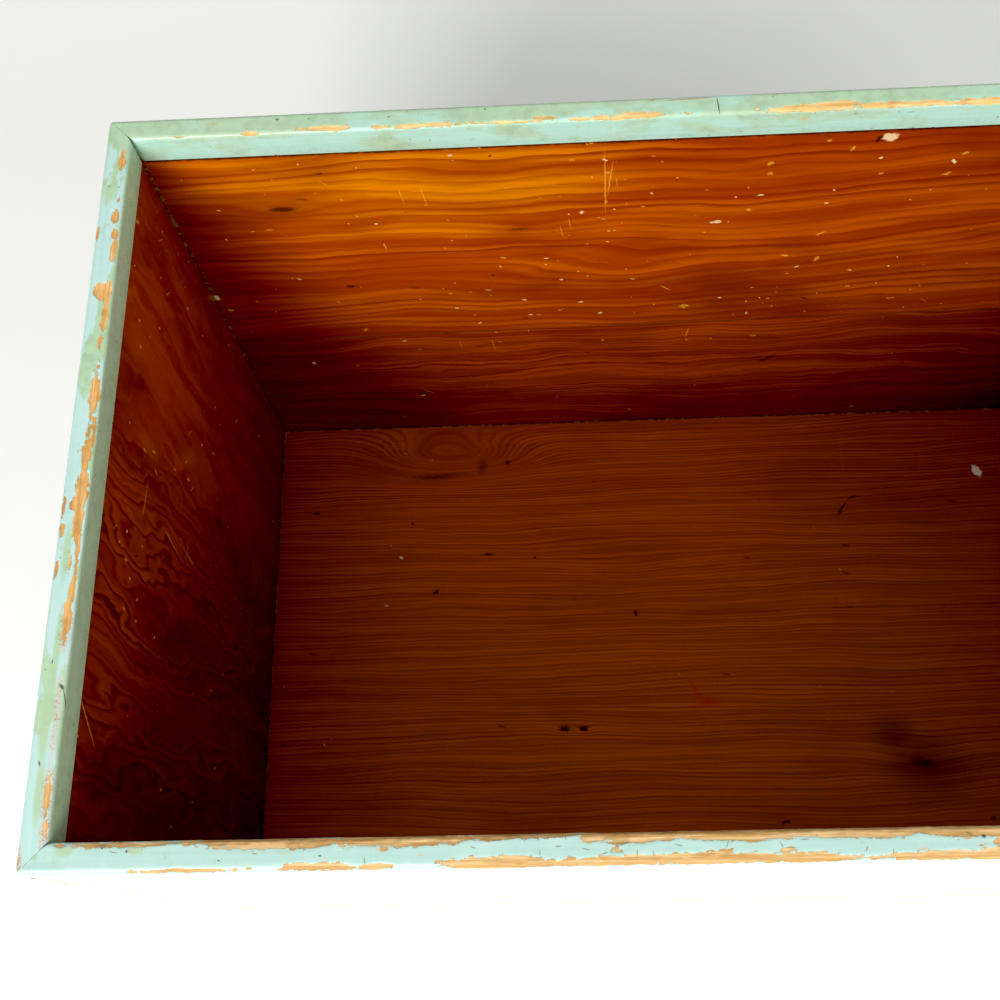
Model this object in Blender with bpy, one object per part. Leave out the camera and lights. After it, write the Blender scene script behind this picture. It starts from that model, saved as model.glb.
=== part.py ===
"""An open wooden box for tossing washers into, or for storage.

Two long walls, each edge-glued from two boards, are nailed over the ends of two plywood panels. The
bottom is a plywood panel let in between the walls and nailed through them. Four mitred rim mouldings sit on
the top edges of the walls, flush outside and with a small lip inside, and are nailed down into them.

Metres, +Z up. The origin is the middle of the underside; X runs along the box and -Y is its front.
"""
import math

import bmesh
import bpy
from mathutils import Matrix, Vector

# Driving dimensions of the woodwork.
BOX_LENGTH = 0.762
BOX_DEPTH = 0.406
BOARD_THICKNESS = 0.0127
INSIDE_HEIGHT = 0.3995
RIM_WIDTH = 0.0143
RIM_HEIGHT = 0.0191
RIM_OUTER_ROUND = 0.0034
RIM_INNER_ROUND = 0.0020
ROUND_STEPS = 4
JOINT_GAP = 0.0003

# The glued joint of each long wall, below the crest of the rim: the boards taper a little.
SEAM_DROP_LEFT = 0.2382
SEAM_DROP_RIGHT = 0.2260

# Nails: common nails with flat heads for the box, finishing nails for the rim.
NAIL_LENGTH = 0.032
NAIL_RADIUS = 0.0009
NAIL_HEAD_RADIUS = 0.0023
NAIL_HEAD_HEIGHT = 0.0009
NAIL_SINK = 0.0002
FINISH_LENGTH = 0.038
FINISH_RADIUS = 0.0009
FINISH_HEAD_RADIUS = 0.0014
FINISH_HEAD_HEIGHT = 0.0012
FINISH_SINK = 0.0005
NAIL_POINT = 0.0030
NAIL_SIDES = 8

# Where the nails are driven: heights up a corner, distances from the middle along each edge of the bottom,
# and distances from the left or front end of each rim moulding.
CORNER_NAIL_HEIGHTS = (0.050, 0.130, 0.225, 0.335)
BOTTOM_NAILS_LONG = (-0.270, -0.090, 0.090, 0.270)
BOTTOM_NAILS_SHORT = (-0.120, 0.0, 0.120)
RIM_NAILS_BACK = (0.055, 0.339, 0.707)
RIM_NAILS_FRONT = (0.055, 0.423, 0.707)
RIM_NAILS_END = (0.077, 0.255)

BOX_HEIGHT = INSIDE_HEIGHT + BOARD_THICKNESS
WALL_HEIGHT = BOX_HEIGHT - RIM_HEIGHT - JOINT_GAP
HALF_LENGTH = BOX_LENGTH / 2
HALF_DEPTH = BOX_DEPTH / 2

AMBER_FIR = ("amber_fir", (0.42, 0.13, 0.02), 0.35, 0.0)
RED_PLYWOOD = ("red_plywood", (0.20, 0.035, 0.008), 0.35, 0.0)
BROWN_PLYWOOD = ("brown_plywood", (0.30, 0.11, 0.03), 0.40, 0.0)
AQUA_PAINT = ("aqua_paint", (0.60, 0.80, 0.72), 0.35, 0.0)
RUSTED_STEEL = ("rusted_steel", (0.16, 0.10, 0.07), 0.70, 0.6)


def clear_scene():
    """Remove whatever objects the scene holds."""
    for obj in list(bpy.data.objects):
        bpy.data.objects.remove(obj, do_unlink=True)


def make_material(finish):
    """Return the Principled material of a finish, making it once."""
    name, colour, roughness, metallic = finish
    material = bpy.data.materials.get(name)
    if material:
        return material
    material = bpy.data.materials.new(name)
    material.use_nodes = True
    shader = material.node_tree.nodes["Principled BSDF"]
    shader.inputs["Base Color"].default_value = (*colour, 1.0)
    shader.inputs["Roughness"].default_value = roughness
    shader.inputs["Metallic"].default_value = metallic
    return material


def add_object(name, mesh, finish):
    """Link a mesh to the scene as a named object with its own finish."""
    if not mesh.materials:
        mesh.materials.append(make_material(finish))
    obj = bpy.data.objects.new(name, mesh)
    bpy.context.scene.collection.objects.link(obj)
    return obj


def mesh_of(name, bm):
    """Turn a bmesh into a mesh whose faces all point out, and free it."""
    bmesh.ops.recalc_face_normals(bm, faces=bm.faces)
    mesh = bpy.data.meshes.new(name)
    bm.to_mesh(mesh)
    bm.free()
    return mesh


def lofted_mesh(name, start_ring, end_ring):
    """Join two rings of equally many points with side faces, and close both ends."""
    bm = bmesh.new()
    start = [bm.verts.new(point) for point in start_ring]
    end = [bm.verts.new(point) for point in end_ring]
    count = len(start)
    for i in range(count):
        j = (i + 1) % count
        bm.faces.new((start[i], start[j], end[j], end[i]))
    bm.faces.new(start[::-1])
    bm.faces.new(end)
    return mesh_of(name, bm)


def long_wall(side_name, side):
    """Make one long wall of two tapering boards. side is -1 at the front and 1 at the back."""
    outer = side * HALF_DEPTH
    inner = side * (HALF_DEPTH - BOARD_THICKNESS)
    seam_left = BOX_HEIGHT - SEAM_DROP_LEFT
    seam_right = BOX_HEIGHT - SEAM_DROP_RIGHT
    half_gap = JOINT_GAP / 2
    outlines = {
        "lower": ((0.0, 0.0), (seam_left - half_gap, seam_right - half_gap)),
        "upper": ((seam_left + half_gap, seam_right + half_gap), (WALL_HEIGHT, WALL_HEIGHT)),
    }
    boards = []
    for level, (low, high) in outlines.items():
        corners = (
            (-HALF_LENGTH, low[0]),
            (HALF_LENGTH, low[1]),
            (HALF_LENGTH, high[1]),
            (-HALF_LENGTH, high[0]),
        )
        name = f"{side_name}_board_{level}"
        mesh = lofted_mesh(name, [(x, outer, z) for x, z in corners], [(x, inner, z) for x, z in corners])
        boards.append(add_object(name, mesh, AMBER_FIR))
    return boards


def end_panel(name, side):
    """Make one end panel between the long walls. side is -1 at the left and 1 at the right."""
    outer = side * HALF_LENGTH
    inner = side * (HALF_LENGTH - BOARD_THICKNESS)
    half_width = HALF_DEPTH - BOARD_THICKNESS - JOINT_GAP
    corners = ((-half_width, 0.0), (half_width, 0.0), (half_width, WALL_HEIGHT), (-half_width, WALL_HEIGHT))
    mesh = lofted_mesh(name, [(outer, y, z) for y, z in corners], [(inner, y, z) for y, z in corners])
    return add_object(name, mesh, RED_PLYWOOD)


def bottom_panel():
    """Make the bottom, let in between the four walls."""
    half_x = HALF_LENGTH - BOARD_THICKNESS - JOINT_GAP
    half_y = HALF_DEPTH - BOARD_THICKNESS - JOINT_GAP
    corners = ((-half_x, -half_y), (half_x, -half_y), (half_x, half_y), (-half_x, half_y))
    mesh = lofted_mesh(
        "bottom_panel", [(x, y, 0.0) for x, y in corners], [(x, y, BOARD_THICKNESS) for x, y in corners]
    )
    return add_object("bottom_panel", mesh, BROWN_PLYWOOD)


def round_points(centre, radius, start_angle):
    """Points of a quarter round that turns down from start_angle, as (across, height)."""
    points = []
    for step in range(ROUND_STEPS + 1):
        angle = start_angle - step * math.pi / 2 / ROUND_STEPS
        points.append((centre[0] + radius * math.cos(angle), centre[1] + radius * math.sin(angle)))
    return points


def rim_profile():
    """Section of a rim moulding as (distance in from the outer face, height above its foot)."""
    outer_centre = (RIM_OUTER_ROUND, RIM_HEIGHT - RIM_OUTER_ROUND)
    inner_centre = (RIM_WIDTH - RIM_INNER_ROUND, RIM_HEIGHT - RIM_INNER_ROUND)
    points = [(0.0, 0.0)]
    points += round_points(outer_centre, RIM_OUTER_ROUND, math.pi)
    points += round_points(inner_centre, RIM_INNER_ROUND, math.pi / 2)
    points.append((RIM_WIDTH, 0.0))
    return points


def rim_moulding(name, half_run, half_across, turn):
    """Make one mitred moulding along X at the front of a frame, then turn it about +Z to its own side."""
    foot = BOX_HEIGHT - RIM_HEIGHT
    left = []
    right = []
    for across, height in rim_profile():
        reach = half_run - across - JOINT_GAP
        left.append((-reach, across - half_across, foot + height))
        right.append((reach, across - half_across, foot + height))
    mesh = lofted_mesh(name, left, right)
    mesh.transform(Matrix.Rotation(turn, 4, "Z"))
    mesh.shade_smooth()
    mesh.set_sharp_from_angle(angle=math.radians(40))
    return add_object(name, mesh, AQUA_PAINT)


def rim():
    """Make the four mouldings, counter-clockwise from the front."""
    return [
        rim_moulding("rim_front", HALF_LENGTH, HALF_DEPTH, 0.0),
        rim_moulding("rim_right", HALF_DEPTH, HALF_LENGTH, math.pi / 2),
        rim_moulding("rim_back", HALF_LENGTH, HALF_DEPTH, math.pi),
        rim_moulding("rim_left", HALF_DEPTH, HALF_LENGTH, -math.pi / 2),
    ]


def turned_mesh(name, profile):
    """Turn a profile of (radius, height) about Z. It starts and ends on the axis."""
    bm = bmesh.new()
    rings = []
    for radius, height in profile:
        if radius == 0.0:
            rings.append([bm.verts.new((0.0, 0.0, height))] * NAIL_SIDES)
            continue
        turns = [2 * math.pi * k / NAIL_SIDES for k in range(NAIL_SIDES)]
        rings.append([bm.verts.new((radius * math.cos(t), radius * math.sin(t), height)) for t in turns])
    for upper, lower in zip(rings, rings[1:]):
        for k in range(NAIL_SIDES):
            following = (k + 1) % NAIL_SIDES
            corners = (upper[k], upper[following], lower[following], lower[k])
            bm.faces.new(tuple(dict.fromkeys(corners)))
    return mesh_of(name, bm)


def nail_profile(length, radius, head_radius, head_height):
    """A nail hanging down from the middle of its head."""
    return (
        (0.0, 0.0),
        (head_radius, 0.0),
        (head_radius, -head_height),
        (radius, -head_height),
        (radius, NAIL_POINT - length),
        (0.0, -length),
    )


def bore_profile(length, radius, head_radius, head_height, sink):
    """The hole for the same nail: wider and deeper by the gap, and open past the wood's surface."""
    above = sink + JOINT_GAP
    return (
        (0.0, above),
        (head_radius + JOINT_GAP, above),
        (head_radius + JOINT_GAP, -head_height - JOINT_GAP),
        (radius + JOINT_GAP, -head_height - JOINT_GAP),
        (radius + JOINT_GAP, -length - JOINT_GAP),
        (0.0, -length - JOINT_GAP),
    )


class NailKind:
    """One size of nail: the mesh its copies share, the mesh of its bore, and how deep the head is sunk."""

    def __init__(self, name, length, radius, head_radius, head_height, sink):
        self.sink = sink
        sizes = (length, radius, head_radius, head_height)
        self.nail = turned_mesh(name, nail_profile(*sizes))
        self.bore = turned_mesh(f"{name}_bore", bore_profile(*sizes, sink))


def drive_nail(name, kind, point, direction, bores):
    """Drive a nail in at a point of the wood's surface, and add its bore to the bores."""
    drive = Vector(direction)
    head = Vector(point) + drive * kind.sink
    turn = drive.to_track_quat("-Z", "Y").to_matrix().to_4x4()
    place = Matrix.Translation(head) @ turn
    nail = add_object(name, kind.nail, RUSTED_STEEL)
    nail.matrix_world = place
    before = len(bores.verts)
    bores.from_mesh(kind.bore)
    bores.verts.ensure_lookup_table()
    bmesh.ops.transform(bores, matrix=place, verts=bores.verts[before:])


def corner_nails(kind, bores):
    """Nails through the ends of the long walls into the edges of the end panels."""
    middle = HALF_LENGTH - BOARD_THICKNESS / 2
    for row, y, drive in (("front", -HALF_DEPTH, (0, 1, 0)), ("back", HALF_DEPTH, (0, -1, 0))):
        for end, x in (("left", -middle), ("right", middle)):
            for number, height in enumerate(CORNER_NAIL_HEIGHTS, 1):
                drive_nail(f"corner_nail_{row}_{end}_{number}", kind, (x, y, height), drive, bores)


def bottom_nails(kind, bores):
    """Nails through the feet of the walls into the edges of the bottom."""
    height = BOARD_THICKNESS / 2
    for row, y, drive in (("front", -HALF_DEPTH, (0, 1, 0)), ("back", HALF_DEPTH, (0, -1, 0))):
        for number, x in enumerate(BOTTOM_NAILS_LONG, 1):
            drive_nail(f"bottom_nail_{row}_{number}", kind, (x, y, height), drive, bores)
    for end, x, drive in (("left", -HALF_LENGTH, (1, 0, 0)), ("right", HALF_LENGTH, (-1, 0, 0))):
        for number, y in enumerate(BOTTOM_NAILS_SHORT, 1):
            drive_nail(f"bottom_nail_{end}_{number}", kind, (x, y, height), drive, bores)


def rim_nails(kind, bores):
    """Finishing nails down through the rim mouldings into the walls."""
    inset = BOARD_THICKNESS / 2
    down = (0, 0, -1)
    rows = (
        ("front", inset - HALF_DEPTH, RIM_NAILS_FRONT),
        ("back", HALF_DEPTH - inset, RIM_NAILS_BACK),
    )
    for row, y, places in rows:
        for number, along in enumerate(places, 1):
            drive_nail(f"rim_nail_{row}_{number}", kind, (along - HALF_LENGTH, y, BOX_HEIGHT), down, bores)
    for end, x in (("left", inset - HALF_LENGTH), ("right", HALF_LENGTH - inset)):
        for number, along in enumerate(RIM_NAILS_END, 1):
            drive_nail(f"rim_nail_{end}_{number}", kind, (x, along - HALF_DEPTH, BOX_HEIGHT), down, bores)


def bore_wood(woodwork, bores):
    """Cut every nail's hole out of the pieces that it goes through."""
    cutter = bpy.data.objects.new("nail_bores", mesh_of("nail_bores", bores))
    bpy.context.scene.collection.objects.link(cutter)
    cutter.hide_render = True
    cutter.display_type = "WIRE"
    for piece in woodwork:
        cut = piece.modifiers.new("nail_bores", "BOOLEAN")
        cut.operation = "DIFFERENCE"
        cut.solver = "EXACT"
        cut.object = cutter


def build():
    """Model the whole box."""
    clear_scene()
    woodwork = long_wall("front", -1) + long_wall("back", 1)
    woodwork += [end_panel("left_end_panel", -1), end_panel("right_end_panel", 1), bottom_panel()]
    woodwork += rim()
    bores = bmesh.new()
    box_nail = NailKind("box_nail", NAIL_LENGTH, NAIL_RADIUS, NAIL_HEAD_RADIUS, NAIL_HEAD_HEIGHT, NAIL_SINK)
    finish_nail = NailKind(
        "finish_nail", FINISH_LENGTH, FINISH_RADIUS, FINISH_HEAD_RADIUS, FINISH_HEAD_HEIGHT, FINISH_SINK
    )
    corner_nails(box_nail, bores)
    bottom_nails(box_nail, bores)
    rim_nails(finish_nail, bores)
    bore_wood(woodwork, bores)


build()
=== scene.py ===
"""Looks for an open wooden box: varnished inside, white paint outside, and worn aqua rim mouldings.

Every piece of wood is rebuilt as a fine mesh on the place that the frame gives it, and every nail as a finer
one. All finishes are worked out from positions in metres, so they stay on the wood whatever the view.
"""

import logging
import math
from dataclasses import dataclass, field
from enum import Enum
from functools import reduce
from typing import Callable, Optional, Sequence, Union

import bpy
import numpy as np
from mathutils import Euler, Matrix, Vector, noise


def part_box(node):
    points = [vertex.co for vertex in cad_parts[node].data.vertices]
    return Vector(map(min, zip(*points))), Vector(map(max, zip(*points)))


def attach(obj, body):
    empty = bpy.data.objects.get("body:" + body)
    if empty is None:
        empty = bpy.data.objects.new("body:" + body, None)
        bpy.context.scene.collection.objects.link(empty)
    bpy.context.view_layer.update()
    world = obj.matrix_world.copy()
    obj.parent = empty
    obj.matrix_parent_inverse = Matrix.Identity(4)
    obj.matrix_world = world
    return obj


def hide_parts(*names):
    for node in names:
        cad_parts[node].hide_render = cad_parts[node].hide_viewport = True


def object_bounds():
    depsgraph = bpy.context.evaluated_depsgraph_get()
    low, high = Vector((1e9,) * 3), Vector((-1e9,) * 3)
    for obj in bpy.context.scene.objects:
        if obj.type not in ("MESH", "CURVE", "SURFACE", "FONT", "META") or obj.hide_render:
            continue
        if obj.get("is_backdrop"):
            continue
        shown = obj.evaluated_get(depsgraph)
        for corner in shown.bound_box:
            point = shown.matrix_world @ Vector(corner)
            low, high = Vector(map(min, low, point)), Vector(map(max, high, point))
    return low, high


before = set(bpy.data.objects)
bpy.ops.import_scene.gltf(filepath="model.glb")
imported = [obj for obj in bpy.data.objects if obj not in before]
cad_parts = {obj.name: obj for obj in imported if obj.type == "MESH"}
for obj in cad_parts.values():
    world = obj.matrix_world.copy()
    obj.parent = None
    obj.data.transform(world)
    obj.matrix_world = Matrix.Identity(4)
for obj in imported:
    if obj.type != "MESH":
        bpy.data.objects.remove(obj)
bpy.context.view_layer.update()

BODY = "root"
MM = 0.001
ORIGIN = (0.0, 0.0, 0.0)
SHAKEN_CHIP = 4.2 * MM
SHAKEN_SCRATCH = 1.2 * MM
THIN_MARK = 0.95 * MM

log = logging.getLogger("wooden_box")

Socket = bpy.types.NodeSocket
Feed = Union["Term", float, Sequence[float]]
Terms = dict[str, "Term"]
Colour = tuple[float, float, float]


class Grain(Enum):
    """Which way the grain of a board runs, as (along, across, through) axes of the box."""

    ALONG_LENGTH_UPRIGHT = ("X", "Z", "Y")
    ALONG_LENGTH_FLAT = ("X", "Y", "Z")
    ALONG_DEPTH_FLAT = ("Y", "X", "Z")
    ALONG_HEIGHT = ("Z", "Y", "X")


class Side(Enum):
    """The four sides of the box, as the turn about +Z that brings the front to that side, in degrees."""

    FRONT = 0.0
    RIGHT = 90.0
    BACK = 180.0
    LEFT = -90.0


@dataclass(frozen=True)
class BoxSizes:
    """The box's sizes in metres, read from the frame."""

    half_length: float
    half_depth: float
    height: float
    board: float
    rim_width: float
    rim_height: float

    @classmethod
    def from_frame(cls) -> "BoxSizes":
        """Read the sizes from the CAD nodes."""
        low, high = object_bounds()
        wall_low, wall_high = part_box("back_board_lower")
        rim_low, rim_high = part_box("rim_back")
        return cls((high[0] - low[0]) / 2, (high[1] - low[1]) / 2, high[2], wall_high.y - wall_low.y,
                   rim_high.y - rim_low.y, rim_high.z - rim_low.z)

    @property
    def rim_foot(self) -> float:
        """Height of the underside of the rim."""
        return self.height - self.rim_height


# ---------------------------------------------------------------------------------------------------------
# Shader graphs
# ---------------------------------------------------------------------------------------------------------


class Term:
    """A value in a node tree: each sign between two of them adds the Math node that works it out."""

    def __init__(self, graph: "Graph", socket: Socket) -> None:
        """Wrap a socket."""
        self.graph = graph
        self.socket = socket

    def __add__(self, other: Feed) -> "Term":
        """This plus another."""
        return self.graph.math("ADD", self, other)

    def __radd__(self, other: Feed) -> "Term":
        """Another plus this."""
        return self.graph.math("ADD", other, self)

    def __sub__(self, other: Feed) -> "Term":
        """This less another."""
        return self.graph.math("SUBTRACT", self, other)

    def __rsub__(self, other: Feed) -> "Term":
        """Another less this."""
        return self.graph.math("SUBTRACT", other, self)

    def __mul__(self, other: Feed) -> "Term":
        """This times another."""
        return self.graph.math("MULTIPLY", self, other)

    def __truediv__(self, other: Feed) -> "Term":
        """This over another."""
        return self.graph.math("DIVIDE", self, other)

    def __abs__(self) -> "Term":
        """This without its sign."""
        return self.graph.math("ABSOLUTE", self)


class Graph:
    """A node tree with short ways to add nodes and join them."""

    def __init__(self, tree: bpy.types.NodeTree) -> None:
        """Wrap a tree."""
        self.tree = tree

    def add(self, kind: str, **settings: object) -> bpy.types.Node:
        """Add a node.

        Args:
            kind: The node's type name without its ShaderNode prefix.
            settings: Properties to set on it.

        Returns:
            The node.
        """
        prefix = "" if kind.startswith("Node") else "ShaderNode"
        made = self.tree.nodes.new(prefix + kind)
        for name, value in settings.items():
            setattr(made, name, value)
        return made

    def put(self, socket: Socket, value: Optional[Feed]) -> None:
        """Feed a socket from a value in the tree, or set its own value."""
        if isinstance(value, Term):
            self.tree.links.new(value.socket, socket)
        elif value is not None:
            socket.default_value = value

    def fed(self, kind: str, feeds: Sequence[Optional[Feed]], output: Union[int, str] = 0,
            **settings: object) -> Term:
        """Add a node, feed its inputs in their order, and take one output."""
        made = self.add(kind, **settings)
        for socket, value in zip(made.inputs, feeds):
            self.put(socket, value)
        return Term(self, made.outputs[output])

    def math(self, operation: str, a: Feed, b: Optional[Feed] = None, clamp: bool = False) -> Term:
        """Work out one number from one or two others."""
        return self.fed("Math", (a, b), operation=operation, use_clamp=clamp)

    def most(self, *terms: Feed) -> Term:
        """The largest of several numbers."""
        return reduce(lambda one, other: self.math("MAXIMUM", one, other), terms)

    def vector(self, operation: str, a: Feed, b: Optional[Feed] = None, output: str = "Vector") -> Term:
        """Work out one vector, or a vector's length, from one or two others."""
        return self.fed("VectorMath", (a, b), output, operation=operation)

    def split(self, vector: Feed) -> tuple[Term, ...]:
        """The X, Y and Z of a vector."""
        made = self.add("SeparateXYZ")
        self.put(made.inputs[0], vector)
        return tuple(Term(self, socket) for socket in made.outputs)

    def join(self, x: Feed, y: Feed, z: Feed = 0.0) -> Term:
        """A vector from three numbers."""
        return self.fed("CombineXYZ", (x, y, z))

    def turned(self, vector: Feed, angle: Feed) -> Term:
        """A vector turned about Z."""
        made = self.add("VectorRotate", rotation_type="Z_AXIS")
        self.put(made.inputs["Vector"], vector)
        self.put(made.inputs["Angle"], angle)
        return Term(self, made.outputs[0])

    def ellipse(self, along: Term, across: Term, middle_along: Feed, middle_across: Feed, half_length: Feed,
                half_width: Feed) -> Term:
        """The squared distance from an ellipse's middle, which is one at its outline."""
        far_along = (along - middle_along) / half_length
        far_across = (across - middle_across) / half_width
        return far_along * far_along + far_across * far_across

    def noise(self, vector: Feed, scale: float = 1.0, detail: float = 2.0, roughness: float = 0.5,
              distortion: float = 0.0, output: Union[int, str] = 0) -> Term:
        """Smooth noise from 0 to 1, about 0.5 on average."""
        made = self.add("TexNoise")
        values = dict(Vector=vector, Scale=scale, Detail=detail, Roughness=roughness, Distortion=distortion)
        for name, value in values.items():
            self.put(made.inputs[name], value)
        return Term(self, made.outputs[output])

    def shake(self, vector: Feed, scale: float, detail: float, roughness: float, reach: float) -> Term:
        """Smooth noise about nought, to unsettle an outline."""
        return (self.noise(vector, scale, detail, roughness) - 0.5) * reach

    def patches(self, vector: Feed, scale: float, detail: float, roughness: float, *span: Feed) -> Term:
        """Smooth noise with a range of it mapped onto another."""
        return self.remap(self.noise(vector, scale, detail, roughness), *span)

    def remap(self, value: Feed, low: Feed, high: Feed, to_low: Feed = 0.0, to_high: Feed = 1.0,
              smooth: bool = True) -> Term:
        """Map a range onto another, with eased ends when smooth."""
        return self.fed("MapRange", (value, low, high, to_low, to_high),
                        interpolation_type="SMOOTHSTEP" if smooth else "LINEAR", clamp=True)

    def mix(self, factor: Feed, a: Feed, b: Feed, blend: str = "MIX") -> Term:
        """Mix two colours."""
        made = self.add("Mix", data_type="RGBA", blend_type=blend)
        for index, value in ((0, factor), (6, a), (7, b)):
            if isinstance(value, tuple) and len(value) == 3:
                value = (*value, 1.0)
            self.put(made.inputs[index], value)
        return Term(self, made.outputs[2])

    def tinted(self, factor: Feed, colour: Feed, tint: Colour) -> Term:
        """Darken a colour by a tint where the factor says."""
        return self.mix(factor, colour, self.mix(1.0, colour, tint, "MULTIPLY"))

    def blend(self, factor: Feed, a: Feed, b: Feed) -> Term:
        """Mix two numbers."""
        made = self.add("Mix", data_type="FLOAT")
        for index, value in ((0, factor), (2, a), (3, b)):
            self.put(made.inputs[index], value)
        return Term(self, made.outputs[0])

    def place(self, group: "SharedGroup", **values: Feed) -> Terms:
        """Place a shared group and feed its inputs, whose names' spaces are written as underscores."""
        made = self.add("Group")
        made.node_tree = group.tree()
        for name, value in values.items():
            self.put(made.inputs[name.replace("_", " ")], value)
        return {socket.name: Term(self, socket) for socket in made.outputs}


class SharedGroup:
    """A shader node group that is built once and placed in many materials.

    It takes numbers and vectors, by name with their usual values, and gives numbers.
    """

    name: str = ""
    takes: dict[str, Feed] = {}
    gives: tuple[str, ...] = ()

    def tree(self) -> bpy.types.NodeTree:
        """The group's node tree, built the first time."""
        found = bpy.data.node_groups.get(self.name)
        if found:
            return found
        tree = bpy.data.node_groups.new(self.name, "ShaderNodeTree")
        for name, value in self.takes.items():
            kind = "NodeSocketVector" if isinstance(value, tuple) else "NodeSocketFloat"
            tree.interface.new_socket(name=name, in_out="INPUT", socket_type=kind).default_value = value
        for name in self.gives:
            tree.interface.new_socket(name=name, in_out="OUTPUT", socket_type="NodeSocketFloat")
        graph = Graph(tree)
        source = graph.add("NodeGroupInput")
        sink = graph.add("NodeGroupOutput")
        given = {socket.name: Term(graph, socket) for socket in source.outputs if socket.name}
        for name, value in self.wire(graph, given).items():
            graph.put(sink.inputs[name], value)
        return tree

    def wire(self, graph: Graph, given: Terms) -> Terms:
        """Build the inside of the group and return what feeds each output."""
        raise NotImplementedError


class GrowthRings(SharedGroup):
    """Growth rings cut by the board's face: the level lines of a gently waving surface.

    Vector is (along, across, through) the grain in metres. Lift is in rings, and bends the lines round knots.
    """

    name = "growth_rings"
    takes = {"Vector": ORIGIN, "Pitch": 0.006, "Wave": 0.008, "Wave Length": 0.16, "Wave Width": 0.08,
             "Slope": 0.0, "Squiggle": 0.42, "Lift": 0.0, "Seed": 0.0}
    gives = ("Late", "Level")

    def wire(self, graph: Graph, given: Terms) -> Terms:
        """Slice the waving surface into rings and shade each from early to late wood."""
        along, across, _ = graph.split(given["Vector"])
        wide = graph.join(along / given["Wave Length"], across / given["Wave Width"], given["Seed"])
        broad = graph.noise(wide, 1.0, 1.5, 0.45) - 0.5
        fine = graph.noise(wide, 3.7, 2.0, 0.5) - 0.5
        wave = (broad * 2.2 + fine * given["Squiggle"]) * given["Wave"]
        level = (across + wave + along * given["Slope"]) / given["Pitch"] + given["Lift"]
        phase = graph.math("FRACT", level)
        random = graph.add("TexWhiteNoise", noise_dimensions="1D")
        graph.put(random.inputs["W"], graph.math("FLOOR", level) + given["Seed"])
        ring = Term(graph, random.outputs[0])
        rise = graph.remap(phase, 0.25, 0.86)
        fall = graph.remap(phase, 0.88, 1.0, 1.0, 0.0)
        late = rise * fall * graph.remap(ring, 0.0, 1.0, 0.35, 1.0, smooth=False)
        return {"Late": late, "Level": level}


class Knot(SharedGroup):
    """A knot or swirl: it lifts the rings about one point, and has a dark core."""

    name = "knot"
    takes = {"Vector": ORIGIN, "Along": 0.0, "Across": 0.0, "Half Length": 0.02, "Half Width": 0.01,
             "Rings": 4.0, "Lift": 0.0, "Core": 0.0}
    gives = ("Lift", "Core")

    def wire(self, graph: Graph, given: Terms) -> Terms:
        """Add this knot's bump and core to those of the knots before it."""
        along, across, _ = graph.split(given["Vector"])
        square = graph.ellipse(along, across, given["Along"], given["Across"], given["Half Length"],
                               given["Half Width"])
        lift = given["Lift"] + graph.math("EXPONENT", square * -1.0) * given["Rings"]
        return {"Lift": lift, "Core": graph.most(given["Core"], graph.remap(square, 0.02, 0.16, 1.0, 0.0))}


class Fibres(SharedGroup):
    """Fine fibres and pores that run with the grain."""

    name = "fibres"
    takes = {"Vector": ORIGIN, "Along": 25.0, "Across": 900.0}
    gives = ("Fibre", "Pore")

    def wire(self, graph: Graph, given: Terms) -> Terms:
        """Stretch two noises far along the grain."""
        along, across, through = graph.split(given["Vector"])
        far = graph.join(along * given["Along"], across * given["Across"], through * given["Across"])
        fibre = graph.noise(far, 1.0, 2.0, 0.6)
        return {"Fibre": fibre, "Pore": graph.patches(far, 1.9, 1.0, 0.5, 0.66, 0.78)}


class Marks(SharedGroup):
    """Scattered small marks: chips and specks when round, scratches when long and thin."""

    name = "marks"
    takes = {"Vector": ORIGIN, "Angle": 0.0, "Cell": 0.02, "Length": 0.003, "Width": 0.002, "Share": 0.2,
             "Rough": 0.0, "Seed": 0.0}
    gives = ("Mask", "Random")

    def wire(self, graph: Graph, given: Terms) -> Terms:
        """Put at most one mark in each cell, smaller in some; Rough shakes the outline."""
        along, across, _ = graph.split(graph.turned(given["Vector"], given["Angle"]))
        far_along = along * (given["Width"] / given["Length"]) / given["Cell"]
        cells = graph.add("TexVoronoi", feature="F1", voronoi_dimensions="2D")
        graph.put(cells.inputs["Vector"], graph.join(far_along + given["Seed"], across / given["Cell"]))
        cells.inputs["Scale"].default_value = 1.0
        random = graph.split(Term(graph, cells.outputs["Color"]))
        present = graph.math("LESS_THAN", random[0], given["Share"])
        size = graph.remap(random[1], 0.0, 1.0, 0.25, 1.0, smooth=False) * (given["Width"] / given["Cell"])
        edge = Term(graph, cells.outputs["Distance"]) / size
        mask = graph.remap(edge + given["Rough"], 0.75, 1.0, 1.0, 0.0)
        return {"Mask": mask * present, "Random": random[2]}


class EdgeDistance(SharedGroup):
    """Distance from a point of a box's face to the nearest edge of the box, inside or outside it."""

    name = "edge_distance"
    takes = {"Vector": ORIGIN, "Half Length": 0.38, "Half Depth": 0.2, "Floor": 0.0}
    gives = ("Distance", "Above Floor")

    def wire(self, graph: Graph, given: Terms) -> Terms:
        """The second smallest of the distances to the ends, the sides and the floor."""
        x, y, z = graph.split(given["Vector"])
        end = abs(given["Half Length"] - abs(x))
        side = abs(given["Half Depth"] - abs(y))
        foot = abs(z - given["Floor"])
        nearer = graph.math("MINIMUM", end, side)
        second = graph.most(nearer, graph.math("MINIMUM", graph.most(end, side), foot))
        return {"Distance": second, "Above Floor": foot}


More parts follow.
